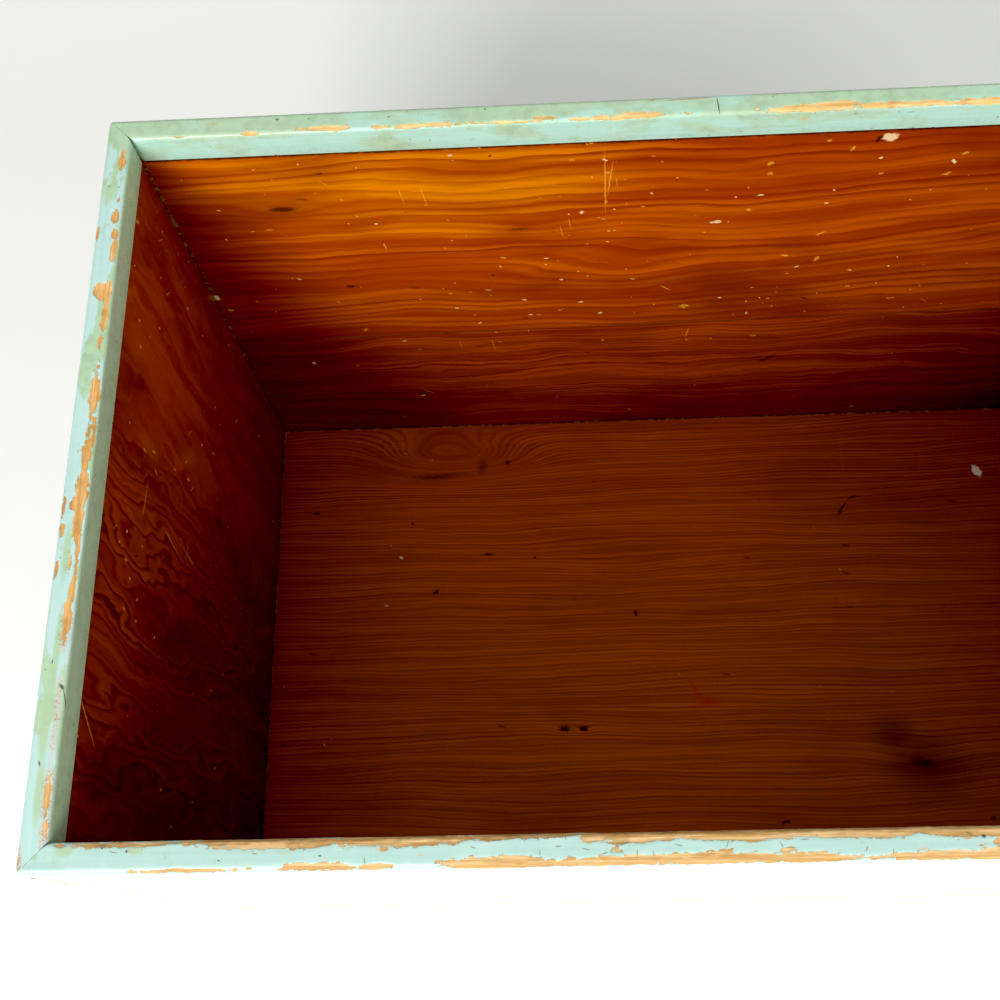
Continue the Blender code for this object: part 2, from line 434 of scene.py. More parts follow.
class Blot(SharedGroup):
    """One placed mark: an ellipse with a soft edge, added to the marks before it."""

    name = "blot"
    takes = {"Vector": ORIGIN, "Middle": ORIGIN, "Half Length": 0.003, "Half Width": 0.002, "Turn": 0.0,
             "Soft": 0.25, "Mask": 0.0}
    gives = ("Mask",)

    def wire(self, graph: Graph, given: Terms) -> Terms:
        """Measure from the middle in units of the half sizes."""
        offset = graph.turned(graph.vector("SUBTRACT", given["Vector"], given["Middle"]), given["Turn"])
        halves = graph.join(given["Half Length"], given["Half Width"], 1.0)
        reach = graph.vector("LENGTH", graph.vector("DIVIDE", offset, halves), output="Value")
        mask = graph.remap(reach, 1.0 - given["Soft"], 1.0 + given["Soft"], 1.0, 0.0)
        return {"Mask": graph.most(given["Mask"], mask)}


GROWTH_RINGS = GrowthRings()
KNOT = Knot()
FIBRES = Fibres()
MARKS = Marks()
EDGE_DISTANCE = EdgeDistance()
BLOT = Blot()


def scaled(colour: Colour, share: float) -> Colour:
    """A colour made darker."""
    return tuple(part * share for part in colour)


class Finish:
    """A material that is built once. Each kind of finish fills in its own shader."""

    name: str
    seed: float = 0.0

    def material(self) -> bpy.types.Material:
        """The Blender material, built the first time."""
        found = bpy.data.materials.get(self.name)
        if found:
            return found
        material = bpy.data.materials.new(self.name)
        material.use_nodes = True
        material.node_tree.nodes.clear()
        graph = Graph(material.node_tree)
        shader = graph.add("BsdfPrincipled")
        output = graph.add("OutputMaterial")
        material.node_tree.links.new(shader.outputs[0], output.inputs["Surface"])
        self.wire(graph, shader)
        return material

    def wire(self, graph: Graph, shader: bpy.types.Node) -> None:
        """Feed the shader's sockets."""
        raise NotImplementedError

    @staticmethod
    def position(graph: Graph) -> Term:
        """The point being shaded, in metres in the box's frame."""
        return Term(graph, graph.add("TexCoord").outputs["Object"])

    @staticmethod
    def grain_vector(graph: Graph, position: Feed, grain: Grain) -> Term:
        """The same point as (along, across, through) the grain."""
        axes = dict(zip("XYZ", graph.split(position)))
        return graph.join(*(axes[axis] for axis in grain.value))

    @staticmethod
    def surface(graph: Graph, shader: bpy.types.Node, colour: Feed, rough: Feed, height: Feed,
                depth: float) -> None:
        """Feed the colour and roughness, and tilt the normal by a height whose full range is depth metres."""
        bump = graph.add("Bump")
        bump.inputs["Strength"].default_value = 1.0
        bump.inputs["Distance"].default_value = depth
        graph.put(bump.inputs["Height"], height)
        feeds = {"Base Color": colour, "Roughness": rough, "Normal": Term(graph, bump.outputs[0])}
        for name, value in feeds.items():
            graph.put(shader.inputs[name], value)

    def scattered(self, graph: Graph, vector: Feed, rough: Feed, cell: float, size: tuple[float, float],
                  share: Feed, shift: float, angle: float = 0.0) -> Terms:
        """Scatter marks, one to a cell in metres, of a length and width in millimetres."""
        length, width = size
        return graph.place(MARKS, Vector=vector, Angle=angle, Cell=cell, Length=length * MM, Width=width * MM,
                           Share=share, Rough=rough, Seed=self.seed + shift)


@dataclass(frozen=True)
class KnotPlace:
    """Where one knot or swirl sits on a board: (along, across) in metres, its half sizes, and its rings."""

    along: float
    across: float
    half_length: float
    half_width: float
    rings: float
    dark: bool = True


class MarkKind(Enum):
    """What a placed mark is, as (its colour, how strongly it covers the varnish)."""

    CREAM = ((0.80, 0.58, 0.32), 0.92)
    TAN = ((0.80, 0.38, 0.045), 0.60)
    DARK = ((0.020, 0.008, 0.004), 0.80)
    RED = ((0.60, 0.030, 0.010), 0.60)
    SMUDGE = ((0.050, 0.016, 0.005), 0.55)
    CRACK = ((0.20, 0.14, 0.05), 0.70)
    RUB = ((0.50, 0.15, 0.02), 0.24)
    PALE = ((0.95, 0.86, 0.68), 1.0)
    SAGE = ((0.42, 0.58, 0.36), 0.90)


MarkRows = dict[MarkKind, Sequence[tuple[float, ...]]]


@dataclass(frozen=True)
class PlacedMark:
    """One mark on a board: its kind, its middle (along, across) and half sizes in metres, and its turn."""

    kind: MarkKind
    along: float
    across: float
    half_length: float
    half_width: float
    turn: float
    soft: float

    def placed(self, graph: Graph, vector: Feed, mask: Feed = 0.0) -> Term:
        """The mark's mask, added to another."""
        return graph.place(BLOT, Vector=vector, Middle=(self.along, self.across, 0.0), Turn=self.turn,
                           Half_Length=self.half_length, Half_Width=self.half_width, Soft=self.soft,
                           Mask=mask)["Mask"]


def marks_at(place: Callable[[float, float], tuple[float, float]], rows: MarkRows,
             soft: float = 0.25) -> tuple[PlacedMark, ...]:
    """Place marks on one piece.

    Args:
        place: Turns a row's first two numbers, in metres, into metres along and across the grain.
        rows: Rows of two distances and two half sizes in millimetres, then a turn in radians and a softness
            where they aren't the usual ones.
        soft: The usual softness.

    Returns:
        The marks, kind by kind.
    """
    marks = []
    for kind, places in rows.items():
        for row in places:
            run, drop, half_length, half_width = (value * MM for value in row[:4])
            turn, own_soft = (*row[4:], *(0.0, soft)[len(row) - 4:])
            marks.append(PlacedMark(kind, *place(run, drop), half_length, half_width, turn, own_soft))
    return tuple(marks)


@dataclass(frozen=True)
class Shade:
    """Painted shade, with some darker stain: the colour darkened towards one side, full at one place along an
    axis and gone at another, in metres.
    """

    axis: str
    full: float
    gone: float
    strength: float
    tint: Colour = (0.30, 0.18, 0.30)


@dataclass(frozen=True)
class VarnishedWood(Finish):
    """Glossy amber to red-brown varnish over figured softwood, nicked and specked by use, with painted light
    and shade in its colour.
    """

    name: str
    grain: Grain
    early: Colour
    late: Colour
    deep: Colour
    sizes: BoxSizes
    pitch: float = 6 * MM
    wave: float = 8 * MM
    wave_length: float = 0.16
    wave_width: float = 0.08
    slope: float = 0.0
    contrast: float = 0.8
    knots: tuple[KnotPlace, ...] = ()
    marks: tuple[PlacedMark, ...] = ()
    streaks: float = 0.6
    stains: float = 0.7
    squiggle: float = 0.42
    fade: Optional[tuple[float, float]] = None
    pale: float = 0.0
    # Painted pool of light: an ellipse (middle along, middle across, half length, half width) in metres where
    # the board keeps its bright colour; the tint below darkens the rest of it as painted shade.
    bright: Optional[tuple[float, float, float, float]] = None
    aged: Colour = (1.0, 1.0, 1.0)
    shades: tuple[Shade, ...] = ()
    seam: Optional[tuple[float, float]] = None
    # Strength of a painted shadow that the end panels cast on a long wall's ends.
    dark_ends: float = 0.0
    chips: float = 0.25
    scratches: float = 0.2
    seed: float = 0.0

    def wire(self, graph: Graph, shader: bpy.types.Node) -> None:
        """Colour from rings, fibres and stain, with painted light and shade; then nicks, scratches, and
        painted shade and dirt in the corners.
        """
        position = self.position(graph)
        vector = self.grain_vector(graph, position, self.grain)
        lift, core = self.knotted(graph, vector)
        rings = graph.place(GROWTH_RINGS, Vector=vector, Pitch=self.pitch, Wave=self.wave,
                            Wave_Length=self.wave_length, Wave_Width=self.wave_width, Slope=self.slope,
                            Squiggle=self.squiggle, Lift=lift, Seed=self.seed)
        fibres = graph.place(FIBRES, Vector=vector)
        colour = self.figure(graph, vector, rings, fibres)
        colour = graph.mix(graph.math("MULTIPLY", core, 0.75), colour, scaled(self.deep, 0.18))
        colour = self.darkened(graph, position, colour)
        colour, rough, nick = self.worn(graph, position, vector, colour)
        colour = self.placed_marks(graph, vector, colour)
        shader.inputs["Specular IOR Level"].default_value = 0.22
        self.surface(graph, shader, colour, rough, fibres["Fibre"] * 0.5 + nick * -1.0, 0.09 * MM)

    def figure(self, graph: Graph, vector: Feed, rings: Terms, fibres: Terms) -> Term:
        """The wood's colour: early and late wood, red streaks along the grain, broad stain, and a painted
        pool of light where a board has one.
        """
        along, across, _ = graph.split(vector)
        late = rings["Late"] * self.contrast
        if self.fade:
            late = late * graph.remap(across, *self.fade, 1.0, 0.15)
        late = graph.math("ADD", late, (fibres["Fibre"] - 0.5) * 0.8, clamp=True)
        colour = graph.mix(late, self.early, self.late)
        flow = rings["Level"] * 0.62 + self.seed
        band = graph.noise(graph.join(along * 5.0, flow, self.seed), 1.0, 2.0, 0.5)
        colour = graph.mix(graph.remap(band, 0.38, 0.64, 0.0, self.streaks), colour, self.deep)
        cloud = graph.join(along * 6.0, across * 16.0, self.seed)
        stain = graph.patches(cloud, 1.0, 3.0, 0.6, 0.45, 0.72, 0.0, self.stains)
        colour = graph.mix(stain, colour, scaled(self.deep, 0.6))
        if self.pale:
            drift = graph.join(along * 12.0, flow, self.seed + 50.0)
            thin = graph.patches(drift, 2.2, 4.0, 0.65, 0.52, 0.76, 0.0, self.pale)
            colour = graph.mix(thin, colour, (0.46, 0.110, 0.010))
        # Painted pool of light: the colour stays bright inside the ellipse and is tinted darker outside it,
        # as painted shade.
        if self.bright:
            aged = graph.remap(graph.ellipse(along, across, *self.bright) + band * 1.6, 0.9, 2.6)
            colour = graph.tinted(aged, colour, self.aged)
        return graph.mix(fibres["Pore"] * 0.35, colour, scaled(self.deep, 0.4))

    def darkened(self, graph: Graph, position: Feed, colour: Feed) -> Term:
        """Paint shade into the varnish along its shades, a painted shadow at a long wall's ends and a painted
        shadow with some grime under the rim; and darken its glued joint.
        """
        x, y, z = graph.split(position)
        places = {"X": x, "Y": y, "Z": z}
        # Each shade is painted shade, with some darker stain on the long walls.
        for shade in self.shades:
            share = graph.remap(places[shade.axis], shade.full, shade.gone, shade.strength, 0.0, smooth=False)
            colour = graph.tinted(share, colour, shade.tint)
        # Painted shadow of the end panels: its edge lies further from the end the deeper it is.
        if self.dark_ends:
            from_end = self.sizes.half_length - self.sizes.board - abs(x)
            past = from_end - (self.sizes.height - z) * 0.36
            end = graph.remap(past, -42 * MM, 44 * MM, self.dark_ends, 0.0)
            colour = graph.tinted(end, colour, (0.32, 0.05, 0.2))
        if self.seam:
            level = graph.remap(x, -self.sizes.half_length, self.sizes.half_length, *self.seam, smooth=False)
            line = graph.remap(abs(z - level), 0.3 * MM, 1.2 * MM, 0.50, 0.0)
            colour = graph.mix(line, colour, (0.024, 0.007, 0.003))
        # Painted shadow under the rim's overhang, with some grime: near black for a few millimetres below its
        # foot.
        ragged = graph.noise(position, 180.0, 3.0, 0.65) * (3.2 * MM)
        rim_shadow_and_grime = graph.remap(self.sizes.rim_foot - z + ragged, 4.6 * MM, 6.6 * MM, 0.85, 0.0)
        return graph.mix(rim_shadow_and_grime, colour, (0.020, 0.007, 0.003))

    def knotted(self, graph: Graph, vector: Feed) -> tuple[Feed, Feed]:
        """Chain this board's knots.

        Returns:
            The lift of the rings, and the mask of the knots' dark cores.
        """
        lift: Feed = 0.0
        core: Feed = 0.0
        for knot in self.knots:
            placed = graph.place(KNOT, Vector=vector, Along=knot.along, Across=knot.across,
                                 Half_Length=knot.half_length, Half_Width=knot.half_width, Rings=knot.rings,
                                 Lift=lift, Core=core)
            lift = placed["Lift"]
            if knot.dark:
                core = placed["Core"]
        return lift, core

    def placed_marks(self, graph: Graph, vector: Feed, colour: Feed) -> Feed:
        """Lay this board's own chips, scratches, spots and stains over its colour."""
        if not self.marks:
            return colour
        offset = graph.vector("SUBTRACT", graph.noise(vector, 330.0, 1.5, output="Color"), (0.5, 0.5, 0.5))
        ways = []
        for reach in (SHAKEN_CHIP, SHAKEN_SCRATCH):
            moved = graph.vector("ADD", vector, graph.vector("MULTIPLY", offset, (reach, reach, 0.0)))
            ways.append(graph.vector("MULTIPLY", moved, (1.0, 1.0, 0.0)))
        masks: dict[MarkKind, Feed] = {}
        for mark in self.marks:
            thin = min(mark.half_length, mark.half_width) < THIN_MARK
            masks[mark.kind] = mark.placed(graph, ways[thin], masks.get(mark.kind, 0.0))
        for kind, mask in masks.items():
            own, cover = kind.value
            colour = graph.mix(mask * cover, colour, own)
        return colour

    def worn(self, graph: Graph, position: Feed, vector: Feed, colour: Feed) -> tuple[Term, Term, Term]:
        """Lay cream nicks, scratches and specks over the varnish, with painted shade and some grime along the
        inside corners, a dark dirt line right in them, and dust.

        Returns:
            The colour, the roughness and the mask of what is cut into the varnish.
        """
        uneven = graph.shake(vector, 800.0, 2.0, 0.6, 1.4)
        crowd = graph.patches(graph.vector("ADD", position, (self.seed, 0.0, 0.0)), 9.0, 1.0, 0.5, 0.42, 0.62,
                              0.15, 1.6)
        some = crowd * self.chips
        few = crowd * (self.scratches * 0.5)
        nicks = self.scattered(graph, vector, uneven, 0.022, (2.9, 1.4), some, 3.0, 0.3)
        specks = self.scattered(graph, vector, uneven, 0.012, (1.3, 0.8), some, 9.0, 0.9)
        up = self.scattered(graph, vector, uneven, 0.011, (13, 0.50), few, 5.0, 1.45)
        slant = self.scattered(graph, vector, uneven, 0.011, (7, 0.55), few, 7.0, 0.75)
        dark = self.scattered(graph, vector, uneven, 0.024, (4.5, 1.3), 0.14, 11.0, 0.2)
        scratch = graph.most(up["Mask"], slant["Mask"])
        chip = graph.most(nicks["Mask"], specks["Mask"])
        tan = (0.78, 0.36, 0.035)
        cream = (0.80, 0.52, 0.22)
        colour = graph.mix(dark["Mask"] * 0.6, colour, scaled(self.deep, 0.3))
        colour = graph.mix(scratch * 0.5, colour, tan)
        tone = graph.remap(graph.most(nicks["Random"], specks["Random"]), 0.7, 1.0)
        strength = graph.remap(specks["Random"], 0.0, 1.0, 0.35, 0.85)
        colour = graph.mix(chip * strength, colour, graph.mix(tone, tan, cream))
        board = self.sizes.board
        edges = graph.place(EDGE_DISTANCE, Vector=position, Half_Length=self.sizes.half_length - board,
                            Half_Depth=self.sizes.half_depth - board, Floor=board)
        away = edges["Distance"] - graph.noise(position, 260.0, 3.0, 0.6) * (3.0 * MM)
        # Painted shade with some grime: darker within 14 mm of the inside corners.
        darkening = graph.remap(edges["Distance"], 0.0, 14 * MM, 0.15, 0.0)
        colour = graph.mix(darkening, colour, scaled(self.deep, 0.25))
        colour = graph.mix(graph.remap(away, -1.5 * MM, 0.2 * MM, 0.65, 0.0), colour, (0.016, 0.006, 0.003))
        dust = graph.patches(position, 210.0, 3.0, 0.65, 0.50, 0.60)
        dusty = graph.remap(away, -0.4 * MM, 0.6 * MM, 1.0, 0.0) * dust
        colour = graph.mix(dusty * 0.55, colour, (0.34, 0.20, 0.09))
        smear = graph.patches(vector, 24.0, 3.0, 0.6, 0.3, 0.75, 0.26, 0.44)
        return colour, graph.blend(graph.most(chip, scratch), smear, 0.7), nicks["Mask"]


@dataclass(frozen=True)
class WhitePaint(Finish):
    """Brushed off-white house paint outside, chipped along the box's edges and scuffed at its foot."""

    name: str
    grain: Grain
    sizes: BoxSizes
    seed: float = 0.0

    def wire(self, graph: Graph, shader: bpy.types.Node) -> None:
        """White over faint grain, with chips down to bare wood and grey scuffs."""
        position = self.position(graph)
        vector = self.grain_vector(graph, position, self.grain)
        rings = graph.place(GROWTH_RINGS, Vector=vector, Pitch=9 * MM, Wave=9 * MM, Seed=self.seed)
        fibres = graph.place(FIBRES, Vector=vector, Along=14.0, Across=520.0)
        edges = graph.place(EDGE_DISTANCE, Vector=position, Half_Length=self.sizes.half_length,
                            Half_Depth=self.sizes.half_depth, Floor=0.0)
        away = edges["Distance"] - graph.noise(position, 95.0, 5.0, 0.62) * (9.0 * MM)
        shaken = graph.shake(position, 800.0, 2.0, 0.6, 1.4)
        chips = self.scattered(graph, vector, shaken, 0.055, (3.0, 2.0), 0.16, 2.0)
        bare = graph.most(graph.remap(away, -3.2 * MM, -2.9 * MM, 1.0, 0.0), chips["Mask"])
        scuff = self.scattered(graph, vector, shaken, 0.020, (16, 1.1), 0.22, 4.0, 0.1)
        smudge = graph.patches(position, 9.0, 4.0, 0.6, 0.55, 0.8, 0.0, 0.22)
        foot = graph.remap(edges["Above Floor"], 0.0, 0.05, 0.28, 0.0)
        white = graph.mix(fibres["Fibre"] * 0.28, (0.57, 0.573, 0.565), (0.48, 0.482, 0.465))
        white = graph.mix(smudge, white, (0.62, 0.60, 0.52))
        white = graph.mix(foot * graph.noise(position, 60.0, 4.0, 0.65), white, (0.30, 0.26, 0.20))
        white = graph.mix(scuff["Mask"] * 0.60, white, (0.34, 0.33, 0.29))
        wood = graph.mix(fibres["Fibre"], (0.62, 0.36, 0.14), (0.36, 0.17, 0.055))
        rough = graph.blend(bare, graph.remap(smudge, 0.0, 0.22, 0.36, 0.55), 0.75)
        shader.inputs["Specular IOR Level"].default_value = 0.4
        height = rings["Late"] * 0.30 + fibres["Fibre"] * 0.30 + bare * -1.3
        self.surface(graph, shader, graph.mix(bare, white, wood), rough, height, 0.14 * MM)


@dataclass(frozen=True)
class BareWood(Finish):
    """Unfinished softwood or plywood, greyed by handling, for hidden edges and the underside."""

    name: str
    grain: Grain
    seed: float = 0.0

    def wire(self, graph: Graph, shader: bpy.types.Node) -> None:
        """Tan wood with rings, fibres and grey dirt."""
        position = self.position(graph)
        vector = self.grain_vector(graph, position, self.grain)
        rings = graph.place(GROWTH_RINGS, Vector=vector, Pitch=7 * MM, Wave=14 * MM, Seed=self.seed)
        fibres = graph.place(FIBRES, Vector=vector, Along=18.0, Across=700.0)
        late = rings["Late"] * 0.6 + fibres["Fibre"] * 0.4
        dirt = graph.patches(position, 22.0, 5.0, 0.65, 0.42, 0.75, 0.0, 0.7)
        colour = graph.mix(dirt, graph.mix(late, (0.52, 0.33, 0.17), (0.28, 0.14, 0.06)), (0.16, 0.13, 0.10))
        rough = graph.remap(dirt, 0.0, 0.7, 0.62, 0.85)
        self.surface(graph, shader, colour, rough, late + dirt * -0.3, 0.18 * MM)


@dataclass(frozen=True)
class WornRimPaint(Finish):
    """Pale aqua paint over sage green, worn and chipped to bare wood, with white below the outer edge.

    It reads two values stored on the moulding, both in millimetres: bare, how far inside a worn patch a point
    lies, and across, its distance in from the outer edge, measured over the section.
    """

    name: str
    grain: Grain
    width: float
    aqua: Colour = (0.54, 0.80, 0.74)
    sage: Colour = (0.48, 0.68, 0.46)
    white: Colour = (0.62, 0.63, 0.61)
    sage_share: float = 0.4
    inner_sage: float = 0.14
    soft: float = 0.02
    rubbed: float = 0.0
    rubbed_to: float = -0.08
    ragged: float = 1.0
    cracks: float = 0.03
    fresh: Colour = (0.88, 0.62, 0.27)
    aged: Colour = (0.74, 0.42, 0.13)
    marks: tuple[PlacedMark, ...] = ()
    seed: float = 0.0

    def wire(self, graph: Graph, shader: bpy.types.Node) -> None:
        """Stack bare wood, sage and aqua, and let the wear cut down through them."""
        position = self.position(graph)
        vector = self.grain_vector(graph, position, self.grain)
        along, _, _ = graph.split(vector)
        bare_field = self.stored(graph, "bare")
        across = self.stored(graph, "across")
        fibres = graph.place(FIBRES, Vector=vector, Along=30.0, Across=800.0)
        brush = graph.place(FIBRES, Vector=vector, Along=9.0, Across=420.0)["Fibre"]
        flat = graph.join(along, across * MM)
        bare = self.bare_mask(graph, position, vector, flat, bare_field)
        sage = self.sage_mask(graph, vector, across)
        aqua = graph.mix(graph.remap(brush, 0.3, 0.8, 0.0, 0.5), self.aqua, scaled(self.aqua, 0.86))
        cloud = graph.patches(position, 60.0, 4.0, 0.6, 0.45, 0.8, 0.0, 0.25)
        aqua = graph.mix(cloud, aqua, (0.66, 0.80, 0.76))
        mottle = graph.patches(position, 140.0, 4.0, 0.6, 0.4, 0.75)
        paint = graph.mix(sage, aqua, graph.mix(mottle, self.sage, scaled(self.sage, 0.84)))
        paint = self.dirtied(graph, position, flat, paint, across, bare_field)
        outer = graph.remap(across + graph.shake(position, 160.0, 4.0, 0.6, 1.6), -3.4, -3.0, 1.0, 0.0)
        paint = graph.mix(outer, paint, graph.mix(brush, self.white, scaled(self.white, 0.9)))
        colour = graph.mix(bare, paint, self.wood(graph, position, fibres, across))
        for mark in self.marks:
            own, cover = mark.kind.value
            colour = graph.mix(mark.placed(graph, flat) * cover, colour, own)
        rough = graph.blend(bare, graph.patches(position, 120.0, 3.0, 0.6, 0.3, 0.7, 0.22, 0.36), 0.6)
        height = bare * -1.0 + sage * -0.25 + brush * 0.10 + fibres["Fibre"] * bare * 0.55
        self.surface(graph, shader, colour, rough, height, 0.26 * MM)

    @staticmethod
    def stored(graph: Graph, name: str) -> Term:
        """A number stored on the mesh."""
        made = graph.add("Attribute", attribute_type="GEOMETRY", attribute_name=name)
        return Term(graph, made.outputs["Fac"])

    def bare_mask(self, graph: Graph, position: Feed, vector: Feed, flat: Feed, bare_field: Term) -> Term:
        """Where the paint is gone, with splintered edges that run with the grain."""
        along, across, through = graph.split(vector)
        streaky = graph.join(along * 260.0, across * 900.0, through * 900.0)
        splinter = graph.shake(streaky, 1.0, 4.0, 0.62, 1.7)
        uneven = (graph.shake(position, 260.0, 5.0, 0.66, 2.8) + splinter) * self.ragged
        worn = graph.remap(bare_field + uneven, -0.08, 0.08, 0.0, 1.0)
        shaken = graph.shake(position, 800.0, 2.0, 0.6, 1.6)
        flakes = self.scattered(graph, flat, shaken, 0.011, (1.6, 0.9), 0.22, 1.0)
        speckle = graph.patches(position, 620.0, 3.0, 0.7, 0.55, 0.60)
        rubbed = speckle * self.rubbed_here(graph, along) * graph.remap(bare_field, -2.2, -0.4, 0.0, 1.0)
        return graph.most(worn, rubbed, flakes["Mask"] * graph.remap(bare_field, -4.5, -0.5, 0.0, 1.0))

    def rubbed_here(self, graph: Graph, along: Feed) -> Term:
        """How strongly this end of the moulding is rubbed thin."""
        return graph.remap(along, self.rubbed_to - 0.02, self.rubbed_to + 0.01, self.rubbed, 0.0)

    def sage_mask(self, graph: Graph, vector: Feed, across: Feed) -> Term:
        """Where the aqua top coat is gone or was never brushed: long blotches, and most of the inner face."""
        drawn = graph.vector("MULTIPLY", vector, (24.0, 62.0, 62.0))
        blotch = graph.noise(graph.vector("ADD", drawn, (self.seed * 9.0, 0.0, 0.0)), 1.0, 5.0, 0.58, 0.3)
        level = 0.5 + (0.5 - self.sage_share) * 0.42
        inner = graph.remap(across, self.width / MM - 0.5, self.width / MM + 2.5, 0.0, self.inner_sage)
        return graph.remap(blotch + inner, level - self.soft, level + self.soft)

    def dirtied(self, graph: Graph, position: Feed, flat: Feed, paint: Feed, across: Feed,
                bare_field: Feed) -> Term:
        """Dark specks, dashes and cracks, grey rubs, yellowed dirt, and darker patches low on the inner face.
        """
        shaken = graph.shake(position, 900.0, 2.0, 0.6, 1.6)
        specks = self.scattered(graph, flat, shaken, 0.007, (0.8, 0.5), 0.16, 6.0)
        dashes = self.scattered(graph, flat, shaken, 0.010, (3.6, 0.6), 0.16, 8.0, 0.12)
        cracks = self.scattered(graph, flat, shaken, 0.006, (2.6, 0.42), self.cracks, 3.0, 1.42)
        here = self.rubbed_here(graph, graph.split(flat)[0])
        paint = graph.mix(graph.remap(bare_field, -2.8, -0.8, 0.0, 0.80) * here, paint, (0.56, 0.56, 0.50))
        paint = graph.mix(cracks["Mask"] * 0.60, paint, (0.22, 0.18, 0.08))
        paint = graph.mix(dashes["Mask"] * 0.5, paint, (0.26, 0.24, 0.18))
        paint = graph.mix(specks["Mask"] * 0.8, paint, (0.10, 0.08, 0.06))
        yellow = graph.patches(position, 95.0, 4.0, 0.6, 0.60, 0.74, 0.0, 0.45)
        paint = graph.mix(yellow, paint, (0.44, 0.44, 0.20))
        deep = graph.remap(across, self.width / MM + 9.0, self.width / MM + 19.0, 0.0, 0.20)
        darkening = deep * graph.patches(position, 300.0, 4.0, 0.65, 0.3, 0.7, 0.4, 1.0)
        return graph.mix(darkening, paint, (0.16, 0.14, 0.09))

    def wood(self, graph: Graph, position: Feed, fibres: Terms, across: Feed) -> Term:
        """Bare orange-tan wood, browner towards the inside where hands have darkened it."""
        light = graph.mix(graph.remap(fibres["Fibre"], 0.28, 0.68), self.fresh, self.aged)
        stain = graph.patches(position, 70.0, 4.0, 0.6, 0.50, 0.68, 0.0, 0.8)
        inner = graph.remap(across, self.width / MM - 2.0, self.width / MM + 1.2, 0.12, 0.85)
        outer = graph.remap(across, 0.5, 5.0, 0.45, 0.0)
        return graph.mix(graph.most(stain * 0.5, stain * inner, outer), light, (0.36, 0.17, 0.025))


@dataclass(frozen=True)
class RustedNail(Finish):
    """A steel nail head: brown rust with the remains of the paint that was brushed over it."""

    name: str
    paint: Colour
    painted: float

    def wire(self, graph: Graph, shader: bpy.types.Node) -> None:
        """Rust and dull steel, under patches of paint."""
        position = self.position(graph)
        rust = graph.mix(graph.noise(position, 900.0, 5.0, 0.7), (0.045, 0.022, 0.014), (0.22, 0.085, 0.03))
        level = 0.5 + (0.5 - self.painted) * 0.5
        cover = graph.patches(position, 420.0, 4.0, 0.6, level - 0.02, level + 0.02)
        graph.put(shader.inputs["Metallic"], graph.blend(cover, 0.35, 0.0))
        self.surface(graph, shader, graph.mix(cover, rust, self.paint), graph.blend(cover, 0.72, 0.4),
                     graph.noise(position, 1500.0, 4.0, 0.7), 0.08 * MM)


@dataclass(frozen=True)
class StudioFloor(Finish):
    """A plain pale floor."""

    name: str = "studio_floor"

    def wire(self, graph: Graph, shader: bpy.types.Node) -> None:
        """Near white, matt."""
        shader.inputs["Base Color"].default_value = (0.925, 0.94, 0.90, 1.0)
        shader.inputs["Roughness"].default_value = 0.9
        shader.inputs["Specular IOR Level"].default_value = 0.1


# ---------------------------------------------------------------------------------------------------------
# Meshes
# ---------------------------------------------------------------------------------------------------------


def smooth_noise(points: np.ndarray, scale: float, seed: float) -> np.ndarray:
    """Smooth noise from about -1 to 1 at each point.

    Args:
        points: Positions in metres, one row each.
        scale: How many bumps to the metre.
        seed: Shifts the pattern.

    Returns:
        One value for each point.
    """
    shift = Vector((seed * 7.31, seed * 3.17, seed * 5.71))
    return np.array([noise.noise(Vector(point) * scale + shift) for point in points])


def new_piece(name: str, points: np.ndarray, faces: Sequence[Sequence[int]]) -> bpy.types.Object:
    """Make a smooth-shaded mesh object, linked to the scene."""
    mesh = bpy.data.meshes.new(name)
    mesh.from_pydata(points.tolist(), [], faces)
    mesh.validate()
    mesh.shade_smooth()
    piece = bpy.data.objects.new(name, mesh)
    bpy.context.scene.collection.objects.link(piece)
    return piece


def stand_in(piece: bpy.types.Object, node: str) -> bpy.types.Object:
    """Let a piece ride on the box and stand for one CAD node."""
    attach(piece, BODY)
    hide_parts(node)
    log.info("%s: %d points", piece.name, len(piece.data.vertices))
    return piece


def store(piece: bpy.types.Object, name: str, values: np.ndarray) -> None:
    """Store one number for each point of a piece's mesh."""
    attribute = piece.data.attributes.new(name, "FLOAT", "POINT")
    attribute.data.foreach_set("value", values.astype(np.float32))


def ticks(low: float, high: float, radius: float, step: float, arc_steps: int = 3) -> np.ndarray:
    """Places of the grid lines along one side of a slab: close over its rounded edges, even between them."""
    turns = np.sin(np.linspace(0.0, math.pi / 2, arc_steps + 1))
    lead = radius * (1.0 - turns[::-1])
    count = max(int(round((high - low - 2 * radius) / step)), 1)
    middle = np.linspace(low + radius, high - radius, count + 1)
    return np.concatenate([low + lead[:-1], middle, high - lead[:-1][::-1]])


